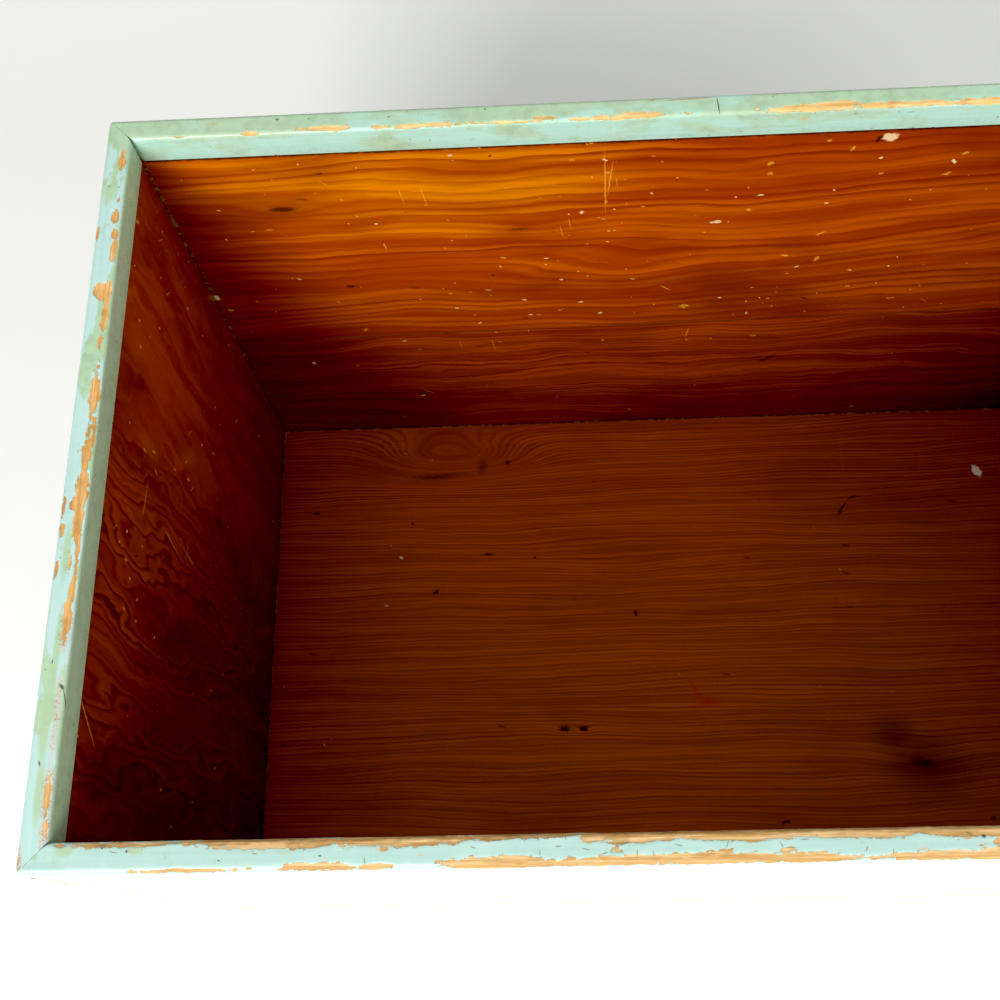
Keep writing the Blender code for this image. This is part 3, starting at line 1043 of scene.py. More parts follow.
def slab(low: Sequence[float], high: Sequence[float], radius: float,
         step: float) -> tuple[np.ndarray, list[tuple[int, ...]]]:
    """A closed box with rounded edges and evenly gridded faces.

    Args:
        low: Lowest corner.
        high: Highest corner.
        radius: Radius of the rounded edges.
        step: Spacing of the grid.

    Returns:
        The points and the faces, which point out.
    """
    lines = [ticks(low[axis], high[axis], radius, step) for axis in range(3)]
    found: dict[tuple[int, int, int], int] = {}
    points: list[tuple[float, float, float]] = []

    def point(key: tuple[int, int, int]) -> int:
        """The number of the point on these three grid lines, made the first time."""
        if key not in found:
            found[key] = len(points)
            points.append(tuple(lines[axis][key[axis]] for axis in range(3)))
        return found[key]

    faces: list[tuple[int, ...]] = []
    for axis in range(3):
        first, second = (axis + 1) % 3, (axis + 2) % 3
        for end in (0, len(lines[axis]) - 1):
            for i in range(len(lines[first]) - 1):
                for j in range(len(lines[second]) - 1):
                    corners = []
                    for di, dj in ((0, 0), (1, 0), (1, 1), (0, 1)):
                        key = [0, 0, 0]
                        key[axis], key[first], key[second] = end, i + di, j + dj
                        corners.append(point(tuple(key)))
                    faces.append(tuple(corners if end else corners[::-1]))
    spots = np.array(points)
    core = np.clip(spots, np.array(low) + radius, np.array(high) - radius)
    away = spots - core
    length = np.linalg.norm(away, axis=1, keepdims=True)
    rounded = core + away * np.where(length > 0, radius / np.maximum(length, 1e-12), 0.0)
    return rounded, faces


@dataclass
class Board:
    """One board or panel of the box, with a finish for each kind of face."""

    node: str
    inner_axis: int
    inner_sign: int
    inside: Finish
    outside: Finish
    hidden: Finish
    slot: str
    grow_low: tuple[float, float, float] = ORIGIN
    grow_high: tuple[float, float, float] = ORIGIN
    seam_top: Optional[tuple[float, float]] = None
    seam_foot: Optional[tuple[float, float]] = None
    round_over: float = 0.5 * MM
    step: float = 5 * MM
    unevenness: float = 0.18 * MM
    seed: float = 1.0

    def build(self) -> bpy.types.Object:
        """Build the board's mesh in the place of its CAD node and dress it."""
        low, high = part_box(self.node)
        low = np.array(low) - np.array(self.grow_low)
        high = np.array(high) + np.array(self.grow_high)
        points, faces = slab(low, high, self.round_over, self.step)
        points = self.weathered(points, low, high)
        points = self.tapered(points, low, high)
        piece = new_piece(f"{self.node}_wood", points, faces)
        for finish in (self.inside, self.outside, self.hidden):
            piece.data.materials.append(finish.material())
        self.assign(piece, low, high)
        return stand_in(piece, self.node)

    def weathered(self, points: np.ndarray, low: np.ndarray, high: np.ndarray) -> np.ndarray:
        """Sink the two large faces here and there, and dent their edges, never past the board's own sides."""
        axis = self.inner_axis
        middle = (low[axis] + high[axis]) / 2
        outward = np.sign(points[:, axis] - middle)
        on_face = np.abs(points[:, axis] - middle) > (high[axis] - low[axis]) / 2 - self.round_over * 1.01
        wide = 0.5 + 0.5 * smooth_noise(points, 14.0, self.seed)
        close = 0.5 + 0.5 * smooth_noise(points, 60.0, self.seed + 4.0)
        depth = self.unevenness * (0.75 * wide + 0.25 * close)
        points[:, axis] -= np.where(on_face, outward * depth, 0.0)
        return points

    def tapered(self, points: np.ndarray, low: np.ndarray, high: np.ndarray) -> np.ndarray:
        """Bring a long board's seam edge to its slope, given as its heights at the left and right ends."""
        for seam, fixed, moved in ((self.seam_top, low[2], high[2]), (self.seam_foot, high[2], low[2])):
            if seam is None:
                continue
            run = (points[:, 0] - low[0]) / (high[0] - low[0])
            target = seam[0] + (seam[1] - seam[0]) * run
            share = (points[:, 2] - fixed) / (moved - fixed)
            points[:, 2] = fixed + (target - fixed) * share
        return points

    def assign(self, piece: bpy.types.Object, low: np.ndarray, high: np.ndarray) -> None:
        """Give each face the finish of the side that it is on."""
        half = (high[self.inner_axis] - low[self.inner_axis]) / 2
        middle = (high[self.inner_axis] + low[self.inner_axis]) / 2
        for face in piece.data.polygons:
            side = (face.center[self.inner_axis] - middle) * self.inner_sign / half
            if side > 0.93:
                face.material_index = 0
            elif abs(face.normal.z) > 0.7 and self.inner_axis != 2:
                face.material_index = 2
            else:
                face.material_index = 1


@dataclass(frozen=True)
class Wear:
    """A worn patch on a moulding, in millimetres from its left or front end and in from its outer edge.

    Thin is the paint left on it, in the same measure: above zero, only specks of wood come through.
    """

    along: float
    across: float
    half_length: float
    half_width: float
    thin: float = 0.0

    def depth(self, along: np.ndarray, across: np.ndarray) -> np.ndarray:
        """How far inside the patch each point lies, in millimetres; negative outside."""
        reach = np.sqrt(((along - self.along) / self.half_length) ** 2
                        + ((across - self.across) / self.half_width) ** 2)
        return (1.0 - reach) * self.half_width - self.thin


@dataclass
class RimMoulding:
    """One mitred rim moulding: a strip with rounded edges, worn by hands and knocks."""

    node: str
    side: Side
    sizes: BoxSizes
    finish: Finish
    wear: tuple[Wear, ...]
    outer_round: float = 3.4 * MM
    inner_round: float = 2.0 * MM
    plan_round: float = 6.0 * MM
    step: float = 1.0 * MM
    gap: float = 0.10 * MM
    notch: float = 1.1 * MM
    seed: float = 1.0

    def section(self) -> np.ndarray:
        """The section as rows of (in from the outer face, above the foot), clockwise from the outer foot."""
        width, height = self.sizes.rim_width, self.sizes.rim_height
        outer, inner = self.outer_round, self.inner_round

        def arc(middle: float, radius: float, start: float, end: float,
                count: int) -> list[tuple[float, float]]:
            """Points over one rounded edge."""
            return [(middle + radius * math.cos(angle), height - radius + radius * math.sin(angle))
                    for angle in np.linspace(start, end, count)]

        rows = [(0.0, z) for z in np.linspace(0.0, height - outer, 8)[:-1]]
        rows += arc(outer, outer, math.pi, math.pi / 2, 9)
        rows += [(u, height) for u in np.linspace(outer, width - inner, 12)[1:-1]]
        rows += arc(width - inner, inner, math.pi / 2, 0.0, 7)
        rows += [(width, z) for z in np.linspace(height - inner, 0.0, 16)[1:]]
        return np.array(rows)

    def build(self) -> bpy.types.Object:
        """Build the moulding along the front, wear it, turn it to its own side and dress it."""
        along_x = self.side in (Side.FRONT, Side.BACK)
        half_run = self.sizes.half_length if along_x else self.sizes.half_depth
        half_across = self.sizes.half_depth if along_x else self.sizes.half_length
        section = self.section()
        count = int(round(2 * half_run / self.step))
        shares = np.linspace(-1.0, 1.0, count + 1)
        share_in = section[:, 0] / self.sizes.rim_width
        inner = np.clip((share_in - 0.76) / 0.24, 0.0, 1.0)
        reach = half_run - section[:, 0] - self.gap - self.notch * inner ** 2
        x = shares[:, None] * reach[None, :]
        u = np.broadcast_to(section[:, 0], x.shape)
        z = np.broadcast_to(section[:, 1], x.shape)
        along = (x + half_run) / MM
        if self.side in (Side.BACK, Side.LEFT):
            along = 2 * half_run / MM - along
        drop = self.sizes.rim_height - z
        across = np.where(u < self.sizes.rim_width / 2, u - drop, u + drop) / MM
        bare = self.bareness(along, across)
        u, z = self.worn(u, z, along, across, bare)
        x, u = self.cornered(x, u, half_run)
        flat = np.stack([x, u - half_across, z + self.sizes.rim_foot], axis=-1).reshape(-1, 3)
        turn = np.array(Matrix.Rotation(math.radians(self.side.value), 3, "Z"))
        piece = new_piece(f"{self.node}_moulding", flat @ turn.T, self.faces(count + 1, len(section)))
        store(piece, "bare", bare.ravel())
        store(piece, "across", across.ravel())
        piece.data.set_sharp_from_angle(angle=math.radians(50))
        piece.data.materials.append(self.finish.material())
        return stand_in(piece, self.node)

    def bareness(self, along: np.ndarray, across: np.ndarray) -> np.ndarray:
        """How far inside a worn patch each point lies, in millimetres, with uneven outlines."""
        depth = np.full(along.shape, -6.0)
        for patch in self.wear:
            depth = np.maximum(depth, patch.depth(along, across))
        place = np.full(along.shape, self.seed * 50.0)
        spots = np.stack([along, across * 3.0, place], axis=-1).reshape(-1, 3)
        uneven = smooth_noise(spots, 0.10, self.seed) * 1.2 + smooth_noise(spots, 0.33, self.seed + 2.0) * 0.7
        return np.clip(depth + uneven.reshape(along.shape), -6.0, 6.0)

    def worn(self, u: np.ndarray, z: np.ndarray, along: np.ndarray, across: np.ndarray,
             bare: np.ndarray) -> tuple[np.ndarray, np.ndarray]:
        """Sink the worn patches and dent the edges.

        Returns:
            The new distances in from the outer face, and the new heights above the foot.
        """
        width, height = self.sizes.rim_width, self.sizes.rim_height
        spots = np.stack([along, across, np.full(along.shape, self.seed * 31.0)], axis=-1).reshape(-1, 3)
        broad = smooth_noise(spots, 0.045, self.seed + 5.0).reshape(along.shape)
        small = smooth_noise(spots, 0.30, self.seed + 8.0).reshape(along.shape)
        sunk = np.clip(bare + 0.3, 0.0, 1.0) * 0.25 + 0.12 * (0.5 + 0.5 * broad)
        sunk += np.clip(bare, 0.0, 1.5) * 0.16 * (0.5 + small)
        sunk = np.clip(sunk, 0.0, None) * MM
        on_inside = (u > width - self.inner_round * 1.01).astype(float)
        on_outside = (u < self.outer_round * 1.01).astype(float)
        on_top = (z > height - max(self.inner_round, self.outer_round) * 1.01).astype(float)
        lifted = (z > 0.5 * MM).astype(float)
        return u + sunk * lifted * (on_outside - on_inside), z - sunk * on_top * lifted

    def cornered(self, x: np.ndarray, u: np.ndarray, half_run: float) -> tuple[np.ndarray, np.ndarray]:
        """Round the outer corners in plan by drawing what sticks out back onto an arc.

        Returns:
            The new places along the moulding, and the new distances in from the outer face.
        """
        radius = self.plan_round
        short_x = radius - (half_run - np.abs(x))
        short_u = radius - u
        reach = np.hypot(short_x, short_u)
        outside = (short_x > 0) & (short_u > 0) & (reach > radius)
        scale = np.where(outside, radius / np.maximum(reach, 1e-9), 1.0)
        new_x = np.where(outside, np.sign(x) * (half_run - radius + short_x * scale), x)
        return new_x, np.where(outside, radius - short_u * scale, u)

    @staticmethod
    def faces(rings: int, around: int) -> list[tuple[int, ...]]:
        """Faces between each ring and the next, right round the section, and the two mitred ends."""
        faces: list[tuple[int, ...]] = []
        for ring in range(rings - 1):
            start = ring * around
            for k in range(around):
                j = (k + 1) % around
                faces.append((start + k, start + around + k, start + around + j, start + j))
        faces.append(tuple(range(around)))
        faces.append(tuple(range((rings - 1) * around, rings * around))[::-1])
        return faces


@dataclass
class Nail:
    """A nail, finer than its CAD node: a slightly domed and dished head on a round pointed shank."""

    node: str
    finish: Finish
    sides: int = 20

    def build(self) -> bpy.types.Object:
        """Turn the nail about its own length, in the place of its CAD node."""
        low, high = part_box(self.node)
        spread = high - low
        axis = max(range(3), key=lambda index: spread[index])
        middle = (low + high) / 2
        inward = -math.copysign(1.0, middle[axis]) if axis != 2 else -1.0
        head = Vector(middle)
        head[axis] = low[axis] if inward > 0 else high[axis]
        head_radius = spread[(axis + 1) % 3] / 2
        rows = self.profile(head_radius, spread[axis])
        drive = Vector((0.0, 0.0, 0.0))
        drive[axis] = inward
        turn = drive.to_track_quat("-Z", "Y").to_matrix()
        points, faces = self.turned(rows)
        placed = points @ np.array(turn).T + np.array(head)
        piece = new_piece(f"{self.node}_steel", placed, faces)
        piece.data.set_sharp_from_angle(angle=math.radians(55))
        piece.data.materials.append(self.finish.material())
        return stand_in(piece, self.node)

    @staticmethod
    def profile(head_radius: float, length: float) -> list[tuple[float, float]]:
        """(radius, height) from the middle of the head to the point."""
        thick = min(0.9 * MM, head_radius * 0.6)
        shank = 0.9 * MM
        return [
            (0.0, -0.14 * MM), (head_radius * 0.35, -0.11 * MM), (head_radius * 0.62, -0.02 * MM),
            (head_radius * 0.80, 0.0), (head_radius * 0.94, -0.08 * MM), (head_radius, -0.26 * MM),
            (head_radius * 0.97, -thick), (shank * 1.25, -thick - 0.05 * MM), (shank, -thick - 0.5 * MM),
            (shank, 3.0 * MM - length), (shank * 0.45, 0.9 * MM - length), (0.0, -length),
        ]

    def turned(self, rows: list[tuple[float, float]]) -> tuple[np.ndarray, list[tuple[int, ...]]]:
        """Turn a profile that starts and ends on the axis."""
        points: list[tuple[float, float, float]] = [(0.0, 0.0, rows[0][1])]
        for radius, height in rows[1:-1]:
            for k in range(self.sides):
                angle = 2 * math.pi * k / self.sides
                points.append((radius * math.cos(angle), radius * math.sin(angle), height))
        points.append((0.0, 0.0, rows[-1][1]))
        faces: list[tuple[int, ...]] = []
        last = len(points) - 1
        for k in range(self.sides):
            j = (k + 1) % self.sides
            faces.append((0, 1 + k, 1 + j))
            for row in range(len(rows) - 3):
                upper, lower = 1 + row * self.sides, 1 + (row + 1) * self.sides
                faces.append((upper + k, lower + k, lower + j, upper + j))
            tail = 1 + (len(rows) - 3) * self.sides
            faces.append((tail + k, last, tail + j))
        return np.array(points), faces


# ---------------------------------------------------------------------------------------------------------
# The box
# ---------------------------------------------------------------------------------------------------------


@dataclass
class WoodenBox:
    """The whole box: its boards, its rim and its nails."""

    sizes: BoxSizes
    joint: float = 0.3 * MM
    pieces: list[bpy.types.Object] = field(default_factory=list)

    def build(self) -> None:
        """Build every piece."""
        self.long_walls()
        self.end_panels()
        self.bottom()
        self.rim()
        self.nails()
        log.info("the box has %d pieces", len(self.pieces))

    def fir(self, name: str, **changes: object) -> VarnishedWood:
        """Amber varnished fir for the long walls, with one board's own changes."""
        half = self.sizes.half_length
        values: dict[str, object] = dict(
            grain=Grain.ALONG_LENGTH_UPRIGHT, early=(0.78, 0.235, 0.004), late=(0.32, 0.042, 0.002),
            # A painted shadow at the long walls' ends.
            deep=(0.44, 0.072, 0.002), sizes=self.sizes, dark_ends=0.80, seam=self.seam(),
            # Painted shade, with some darker stain: darker towards the right.
            shades=(Shade("X", 0.70 * half, -0.75 * half, 0.66),),
        )
        values.update(changes)
        return VarnishedWood(name=name, **values)

    def long_walls(self) -> None:
        """The front and back walls, each of an upper and a lower board glued edge to edge."""
        hidden = BareWood("bare_fir", Grain.ALONG_LENGTH_UPRIGHT, seed=2.0)
        outside = WhitePaint("white_paint_long", Grain.ALONG_LENGTH_UPRIGHT, self.sizes, seed=1.0)
        seam = self.seam()
        half = self.sizes.half_length
        for side, sign, seed in (("back", -1, 0.0), ("front", 1, 40.0)):
            upper = self.fir(
                f"{side}_upper_varnish", pitch=8.0 * MM, wave=22 * MM, wave_length=0.20, wave_width=0.09,
                slope=-0.03, contrast=0.90, knots=self.upper_knots(), seed=seed + 1.3, chips=0.32,
                scratches=0.30, marks=self.upper_marks() if side == "back" else (), streaks=0.75,
                # Painted pool of light at the upper left, with painted shade around it.
                bright=(0.15 - self.sizes.half_length, self.sizes.height - 0.050, 0.125, 0.056),
                aged=(0.80, 0.52, 0.6),
            )
            lower = self.fir(
                f"{side}_lower_varnish", early=(0.54, 0.092, 0.002), late=(0.19, 0.016, 0.001),
                deep=(0.27, 0.029, 0.001), pitch=5.0 * MM, wave=26 * MM, wave_length=0.15, wave_width=0.08,
                contrast=0.95, seed=seed + 5.7, chips=0.12, scratches=0.16, streaks=0.8,
                # Painted shade: darker towards the right and most at the right end; and a painted shadow at
                # the ends.
                shades=(Shade("X", 0.70 * half, -0.75 * half, 0.42), Shade("X", 0.26, 0.04, 0.80)),
                dark_ends=0.72,
                marks=self.lower_marks() if side == "back" else (),
            )
            self.pieces.append(Board(
                f"{side}_board_upper", 1, sign, upper, outside, hidden, "amber_fir",
                grow_high=(0.0, 0.0, self.joint), seam_foot=seam, seed=seed + 1.0).build())
            self.pieces.append(Board(
                f"{side}_board_lower", 1, sign, lower, outside, hidden, "amber_fir", seam_top=seam,
                seed=seed + 2.0).build())

    def on_wall(self, run: float, drop: float) -> tuple[float, float]:
        """A place on a long wall, from the left and below the crest."""
        return run - self.sizes.half_length, self.sizes.height - drop

    def on_end(self, depth: float, drop: float) -> tuple[float, float]:
        """A place on an end panel, where the grain is upright, from the front and below the crest."""
        return self.sizes.height - drop, depth - self.sizes.half_depth

    def on_floor(self, run: float, depth: float) -> tuple[float, float]:
        """A place on the floor, from the left and from the front."""
        return run - self.sizes.half_length, depth - self.sizes.half_depth

    def on_long_rim(self, run: float, across: float) -> tuple[float, float]:
        """A place on the front or back moulding, from the left and in from the outer edge."""
        return run - self.sizes.half_length, across

    def on_end_rim(self, run: float, across: float) -> tuple[float, float]:
        """A place on an end moulding, from the front and in from the outer edge."""
        return run - self.sizes.half_depth, across

    def upper_marks(self) -> tuple[PlacedMark, ...]:
        """The back wall's own chips and scratches, down to the glued joint."""
        return marks_at(self.on_wall, {
            MarkKind.CREAM: (
                (440, 28, 4.6, 3.4), (267, 89, 1.6, 1.8), (351, 106, 3.4, 1.4, -0.1), (279, 38, 1.8, 1.0),
                (15, 174, 1.6, 3.4), (268, 198, 2.0, 1.0), (375, 79, 2.0, 0.7, -0.1), (440, 47, 1.2, 1.4),
                (483, 53, 2.0, 1.0, 0.5), (138, 93, 1.2, 0.6), (190, 28, 1.4, 0.7), (77, 154, 1.6, 0.7, 0.5),
                (180, 200, 1.4, 0.9), (195, 222, 1.6, 1.0, -0.5), (228, 192, 1.8, 0.8), (232, 213, 1.5, 0.9),
                (282, 214, 1.6, 0.9, -0.2), (254, 167, 1.2, 0.8), (244, 140, 1.6, 0.6), (387, 222, 0.7, 1.4),
                (365, 199, 1.2, 0.7), (412, 162, 1.6, 0.6, -0.4), (417, 90, 1.3, 0.8),
            ),
            MarkKind.TAN: (
                (280, 60, 0.45, 27.0, -0.04, 0.5), (283, 56, 0.45, 14.0, 0.06, 0.5), (281, 80, 1.0, 2.0),
                (281, 50, 1.6, 1.2), (421, 37, 1.0, 2.0, 0.6), (406, 29, 1.4, 0.9), (443, 62, 1.4, 0.9),
                (487, 46, 2.0, 1.0), (482, 65, 2.4, 1.0, -0.5), (370, 94, 1.9, 1.1),
                (420, 123, 3.4, 0.6, -0.6), (423, 153, 1.0, 2.6, 0.5), (407, 170, 1.2, 0.6),
                (400, 147, 1.2, 0.9), (304, 86, 1.2, 0.8), (284, 111, 1.0, 0.9), (326, 183, 5.0, 0.5, 0.7),
                (341, 209, 3.0, 1.5), (341, 209, 1.2, 3.4), (399, 202, 1.3, 0.7), (386, 187, 1.2, 0.6),
                (486, 208, 3.0, 0.6, -0.1), (70, 95, 2.2, 0.7), (59, 96, 1.4, 0.7), (98, 186, 0.6, 2.2, -0.1),
                (111, 226, 1.0, 2.4, 0.5), (140, 118, 0.5, 3.2, -0.1), (177, 180, 1.5, 0.6, 0.2),
                (191, 179, 1.3, 0.5, 0.3), (205, 184, 1.2, 0.5, 0.4), (253, 208, 1.6, 0.9),
                (376, 48, 1.6, 2.2), (377, 58, 1.8, 1.4),
            ),
            MarkKind.DARK: (
                (434, 30, 1.4, 3.4, 0.3), (110, 166, 2.8, 1.6), (208, 158, 1.6, 1.0),
                (425, 204, 3.4, 0.7, 0.5), (112, 40, 2.4, 0.7), (213, 30, 1.0, 1.2),
            ),
            MarkKind.RED: ((141, 86, 1.6, 1.5), (158, 82, 1.1, 0.9)),
            MarkKind.SMUDGE: ((83, 74, 8.0, 2.2, 0.0, 0.8), (227, 105, 6.0, 1.2, -0.1, 0.8)),
        })

    def lower_marks(self) -> tuple[PlacedMark, ...]:
        """The back wall's own marks below the glued joint."""
        return marks_at(self.on_wall, {
            MarkKind.DARK: ((414, 293, 7.0, 1.6, -0.8, 0.6), (142, 334, 2.0, 1.4)),
            MarkKind.CREAM: ((63, 275, 1.8, 1.6), (137, 245, 1.6, 0.9), (141, 338, 1.6, 1.0)),
            MarkKind.TAN: ((348, 259, 1.2, 0.9), (347, 248, 0.5, 6.0, 0.1, 0.5), (285, 255, 0.9, 1.2),
                           (147, 259, 1.3, 0.7), (96, 282, 1.2, 0.8)),
        })

    def upper_knots(self) -> tuple[KnotPlace, ...]:
        """A small knot and two swirls of the upper boards."""
        left = -self.sizes.half_length
        top = self.sizes.height
        return (
            KnotPlace(left + 0.083, top - 0.074, 0.024, 0.008, 1.4),
            KnotPlace(left + 0.228, top - 0.105, 0.040, 0.012, 1.2, dark=False),
            KnotPlace(left + 0.300, top - 0.170, 0.090, 0.035, 2.0, dark=False),
        )

    def seam(self) -> tuple[float, float]:
        """Heights of the glued joint at the left and right ends, midway between the two CAD boards."""
        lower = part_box("back_board_lower")[1].z
        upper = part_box("back_board_upper")[0].z
        return upper - self.joint / 2, lower + self.joint / 2

    def end_panels(self) -> None:
        """The left and right panels, plywood with a wild upright figure."""
        hidden = BareWood("bare_plywood_upright", Grain.ALONG_HEIGHT, seed=6.0)
        outside = WhitePaint("white_paint_ends", Grain.ALONG_HEIGHT, self.sizes, seed=3.0)
        half_depth = self.sizes.half_depth
        # Painted shade: the end panels darken towards the floor and towards the front.
        brown = (0.30, 0.10, 0.30)
        shades = (Shade("Z", 0.0, self.sizes.height - 0.08, 0.62, brown),
                  Shade("Y", -half_depth, 0.2 * half_depth, 0.55, brown))
        for node, sign, seed in (("left_end_panel", 1, 11.0), ("right_end_panel", -1, 23.0)):
            inside = VarnishedWood(
                f"{node}_varnish", Grain.ALONG_HEIGHT, (0.37, 0.054, 0.003), (0.075, 0.004, 0.001),
                (0.175, 0.010, 0.001), self.sizes, pitch=8.0 * MM, wave=34 * MM, wave_length=0.19,
                wave_width=0.070, contrast=1.0, streaks=0.6, squiggle=1.3, fade=(-0.02, 0.08), pale=0.36,
                marks=self.end_marks(), shades=shades, seed=seed, chips=0.12, scratches=0.26,
            )
            grow = (0.0, self.joint, 0.0)
            self.pieces.append(Board(node, 0, sign, inside, outside, hidden, "red_plywood", grow_low=grow,
                                     grow_high=(0.0, self.joint, self.joint), seed=seed).build())

    def end_marks(self) -> tuple[PlacedMark, ...]:
        """Rubs, nicks and scratches of the end panels."""
        return marks_at(self.on_end, {
            MarkKind.RUB: ((240, 82, 14.0, 6.0, 0.0, 0.9), (262, 150, 18.0, 5.0, 0.5, 0.9)),
            MarkKind.TAN: (
                (235, 73, 2.0, 0.9), (240, 88, 2.2, 1.0, 0.4), (245, 126, 2.0, 0.7, 0.3),
                (249, 153, 2.6, 0.9, 0.2), (258, 146, 2.0, 0.6, 0.9), (230, 94, 2.4, 0.6, -0.5),
                (287, 201, 2.4, 0.7, 0.1), (320, 196, 1.4, 0.6), (289, 51, 1.6, 0.7),
                (282, 174, 1.8, 0.6, 0.4),
                (200, 131, 12.0, 0.45, -0.24, 0.5), (201, 170, 5.0, 0.5, -0.2, 0.5), (166, 62, 2.0, 0.7),
                (75, 32, 16.0, 0.45, -0.68, 0.5), (56, 152, 2.4, 0.9, 0.1), (131, 236, 2.4, 1.0),
                (158, 70, 1.4, 0.8), (150, 84, 1.6, 0.7, 0.6), (172, 50, 1.2, 0.8), (140, 66, 1.8, 0.6, -0.4),
            ),
            MarkKind.DARK: ((246, 226, 7.0, 2.0, 0.0, 0.7),),
        })

    def bottom(self) -> None:
        """The bottom panel: straight fine grain, with a swirl at the back left and a few dark knots."""
        left, back = -self.sizes.half_length, self.sizes.half_depth
        knots = (
            KnotPlace(left + 0.152, back - 0.040, 0.052, 0.021, 13.0, dark=False),
            KnotPlace(left + 0.200, back - 0.046, 0.034, 0.014, 4.0, dark=False),
            KnotPlace(left + 0.248, back - 0.278, 0.010, 0.004, 1.2),
            KnotPlace(left + 0.263, back - 0.278, 0.008, 0.004, 1.2),
            KnotPlace(left + 0.524, back - 0.306, 0.036, 0.016, 2.2, dark=False),
        )
        inside = VarnishedWood(
            "bottom_varnish", Grain.ALONG_LENGTH_FLAT, (0.62, 0.142, 0.004), (0.25, 0.037, 0.002),
            (0.35, 0.062, 0.002), self.sizes, pitch=2.9 * MM, wave=9 * MM, wave_length=0.20, wave_width=0.05,
            contrast=0.85, knots=knots, marks=self.floor_marks(), streaks=0.55, stains=0.30, seed=31.0,
            chips=0.015, scratches=0.02,
            # Painted shade: the floor darkens towards the right and at its left end; the last shade makes it
            # redder towards the back.
            shades=(Shade("X", 0.30, -0.02, 0.60), Shade("X", -0.36, -0.25, 0.42),
                    Shade("Y", back, back - 0.11, 0.40, (0.92, 0.45, 0.5))),
        )
        under = BareWood("bare_plywood_flat", Grain.ALONG_LENGTH_FLAT, seed=8.0)
        grow = (self.joint, self.joint, 0.0)
        self.pieces.append(Board("bottom_panel", 2, 1, inside, under, under, "brown_plywood", grow_low=grow,
                                 grow_high=grow, seed=31.0).build())

    def floor_marks(self) -> tuple[PlacedMark, ...]:
        """The floor's own spots, scratches and stains."""
        return marks_at(self.on_floor, {
            MarkKind.SMUDGE: ((185, 354, 3.5, 5.5, 0.2, 0.8), (147, 346, 18.0, 2.6, -0.06, 0.95),
                              (503, 118, 15.0, 12.0, 0.0, 0.9), (524, 94, 27.0, 20.0, 0.2, 0.9)),
            MarkKind.DARK: (
                (207, 357, 2.2, 1.6, 0.0, 0.8), (248, 129, 4.2, 2.2, 0.0, 0.6),
                (263, 129, 3.6, 2.2, 0.0, 0.6), (522, 97, 8.0, 2.5, 0.2, 0.9),
                (484, 306, 7.0, 1.0, -0.9, 0.5), (494, 316, 3.4, 1.0, -0.4, 0.5),
                (44, 316, 2.4, 1.4, 0.0, 0.5), (126, 304, 1.4, 1.0), (146, 243, 2.2, 1.8),
                (228, 271, 1.3, 0.9), (190, 275, 5.0, 1.0, 0.1, 0.5), (309, 221, 1.8, 2.0),
                (413, 55, 3.0, 1.6, 0.0, 0.5), (568, 55, 2.0, 1.2),
            ),
            MarkKind.RED: ((362, 147, 9.0, 4.0, 0.1, 0.9), (352, 158, 1.4, 10.0, -0.5, 0.9)),
            MarkKind.PALE: ((599, 336, 3.2, 5.6, -0.4), (117, 274, 1.2, 1.1)),
            MarkKind.RUB: ((489, 356, 0.5, 18.0, 0.0, 0.6), (470, 300, 0.6, 6.0, 0.3, 0.6)),
        })

    def rim(self) -> None:
        """The four mitred mouldings, each with its own wear."""
        ends = dict(aqua=(0.49, 0.72, 0.68), sage=(0.44, 0.63, 0.41), sage_share=0.36, soft=0.02,
                    inner_sage=0.30, ragged=1.3, cracks=0.0, fresh=(0.84, 0.52, 0.20),
                    aged=(0.60, 0.29, 0.07))
        paints: dict[Side, dict[str, object]] = {
            Side.BACK: dict(aqua=(0.46, 0.73, 0.61), sage=(0.45, 0.63, 0.43), sage_share=0.62, soft=0.08,
                            inner_sage=-0.10, ragged=1.35, marks=self.back_rim_marks()),
            Side.FRONT: dict(aqua=(0.45, 0.67, 0.61), sage_share=0.08, ragged=1.4, cracks=0.22,
                             fresh=(0.80, 0.56, 0.27), aged=(0.50, 0.27, 0.07), marks=self.front_rim_marks()),
            Side.LEFT: dict(rubbed=1.0, marks=self.left_rim_marks(), **ends),
            Side.RIGHT: ends,
        }
        wear = {Side.BACK: self.back_wear(), Side.FRONT: self.front_wear(), Side.LEFT: self.left_wear(),
                Side.RIGHT: self.right_wear()}
        for side, seed in ((Side.BACK, 2.0), (Side.FRONT, 4.0), (Side.LEFT, 6.0), (Side.RIGHT, 9.0)):
            node = f"rim_{side.name.lower()}"
            grain = Grain.ALONG_LENGTH_FLAT if side in (Side.BACK, Side.FRONT) else Grain.ALONG_DEPTH_FLAT
            paint = WornRimPaint(f"{node}_paint", grain, self.sizes.rim_width, seed=seed, **paints[side])
            self.pieces.append(RimMoulding(node, side, self.sizes, paint, wear[side], seed=seed).build())

    def back_rim_marks(self) -> tuple[PlacedMark, ...]:
        """A crack, a scratch and a few dents of the back moulding."""
        return marks_at(self.on_long_rim, {
            MarkKind.DARK: ((340, 9.0, 0.35, 5.5, 0.06), (96, 5.0, 0.9, 0.6), (212, 4.0, 0.6, 0.5)),
            MarkKind.RED: ((324, 3.2, 14.0, 0.45, 0.03),),
            MarkKind.TAN: ((387, 21.0, 1.6, 1.2), (60, 6.0, 3.0, 0.4)),
        }, soft=0.5)

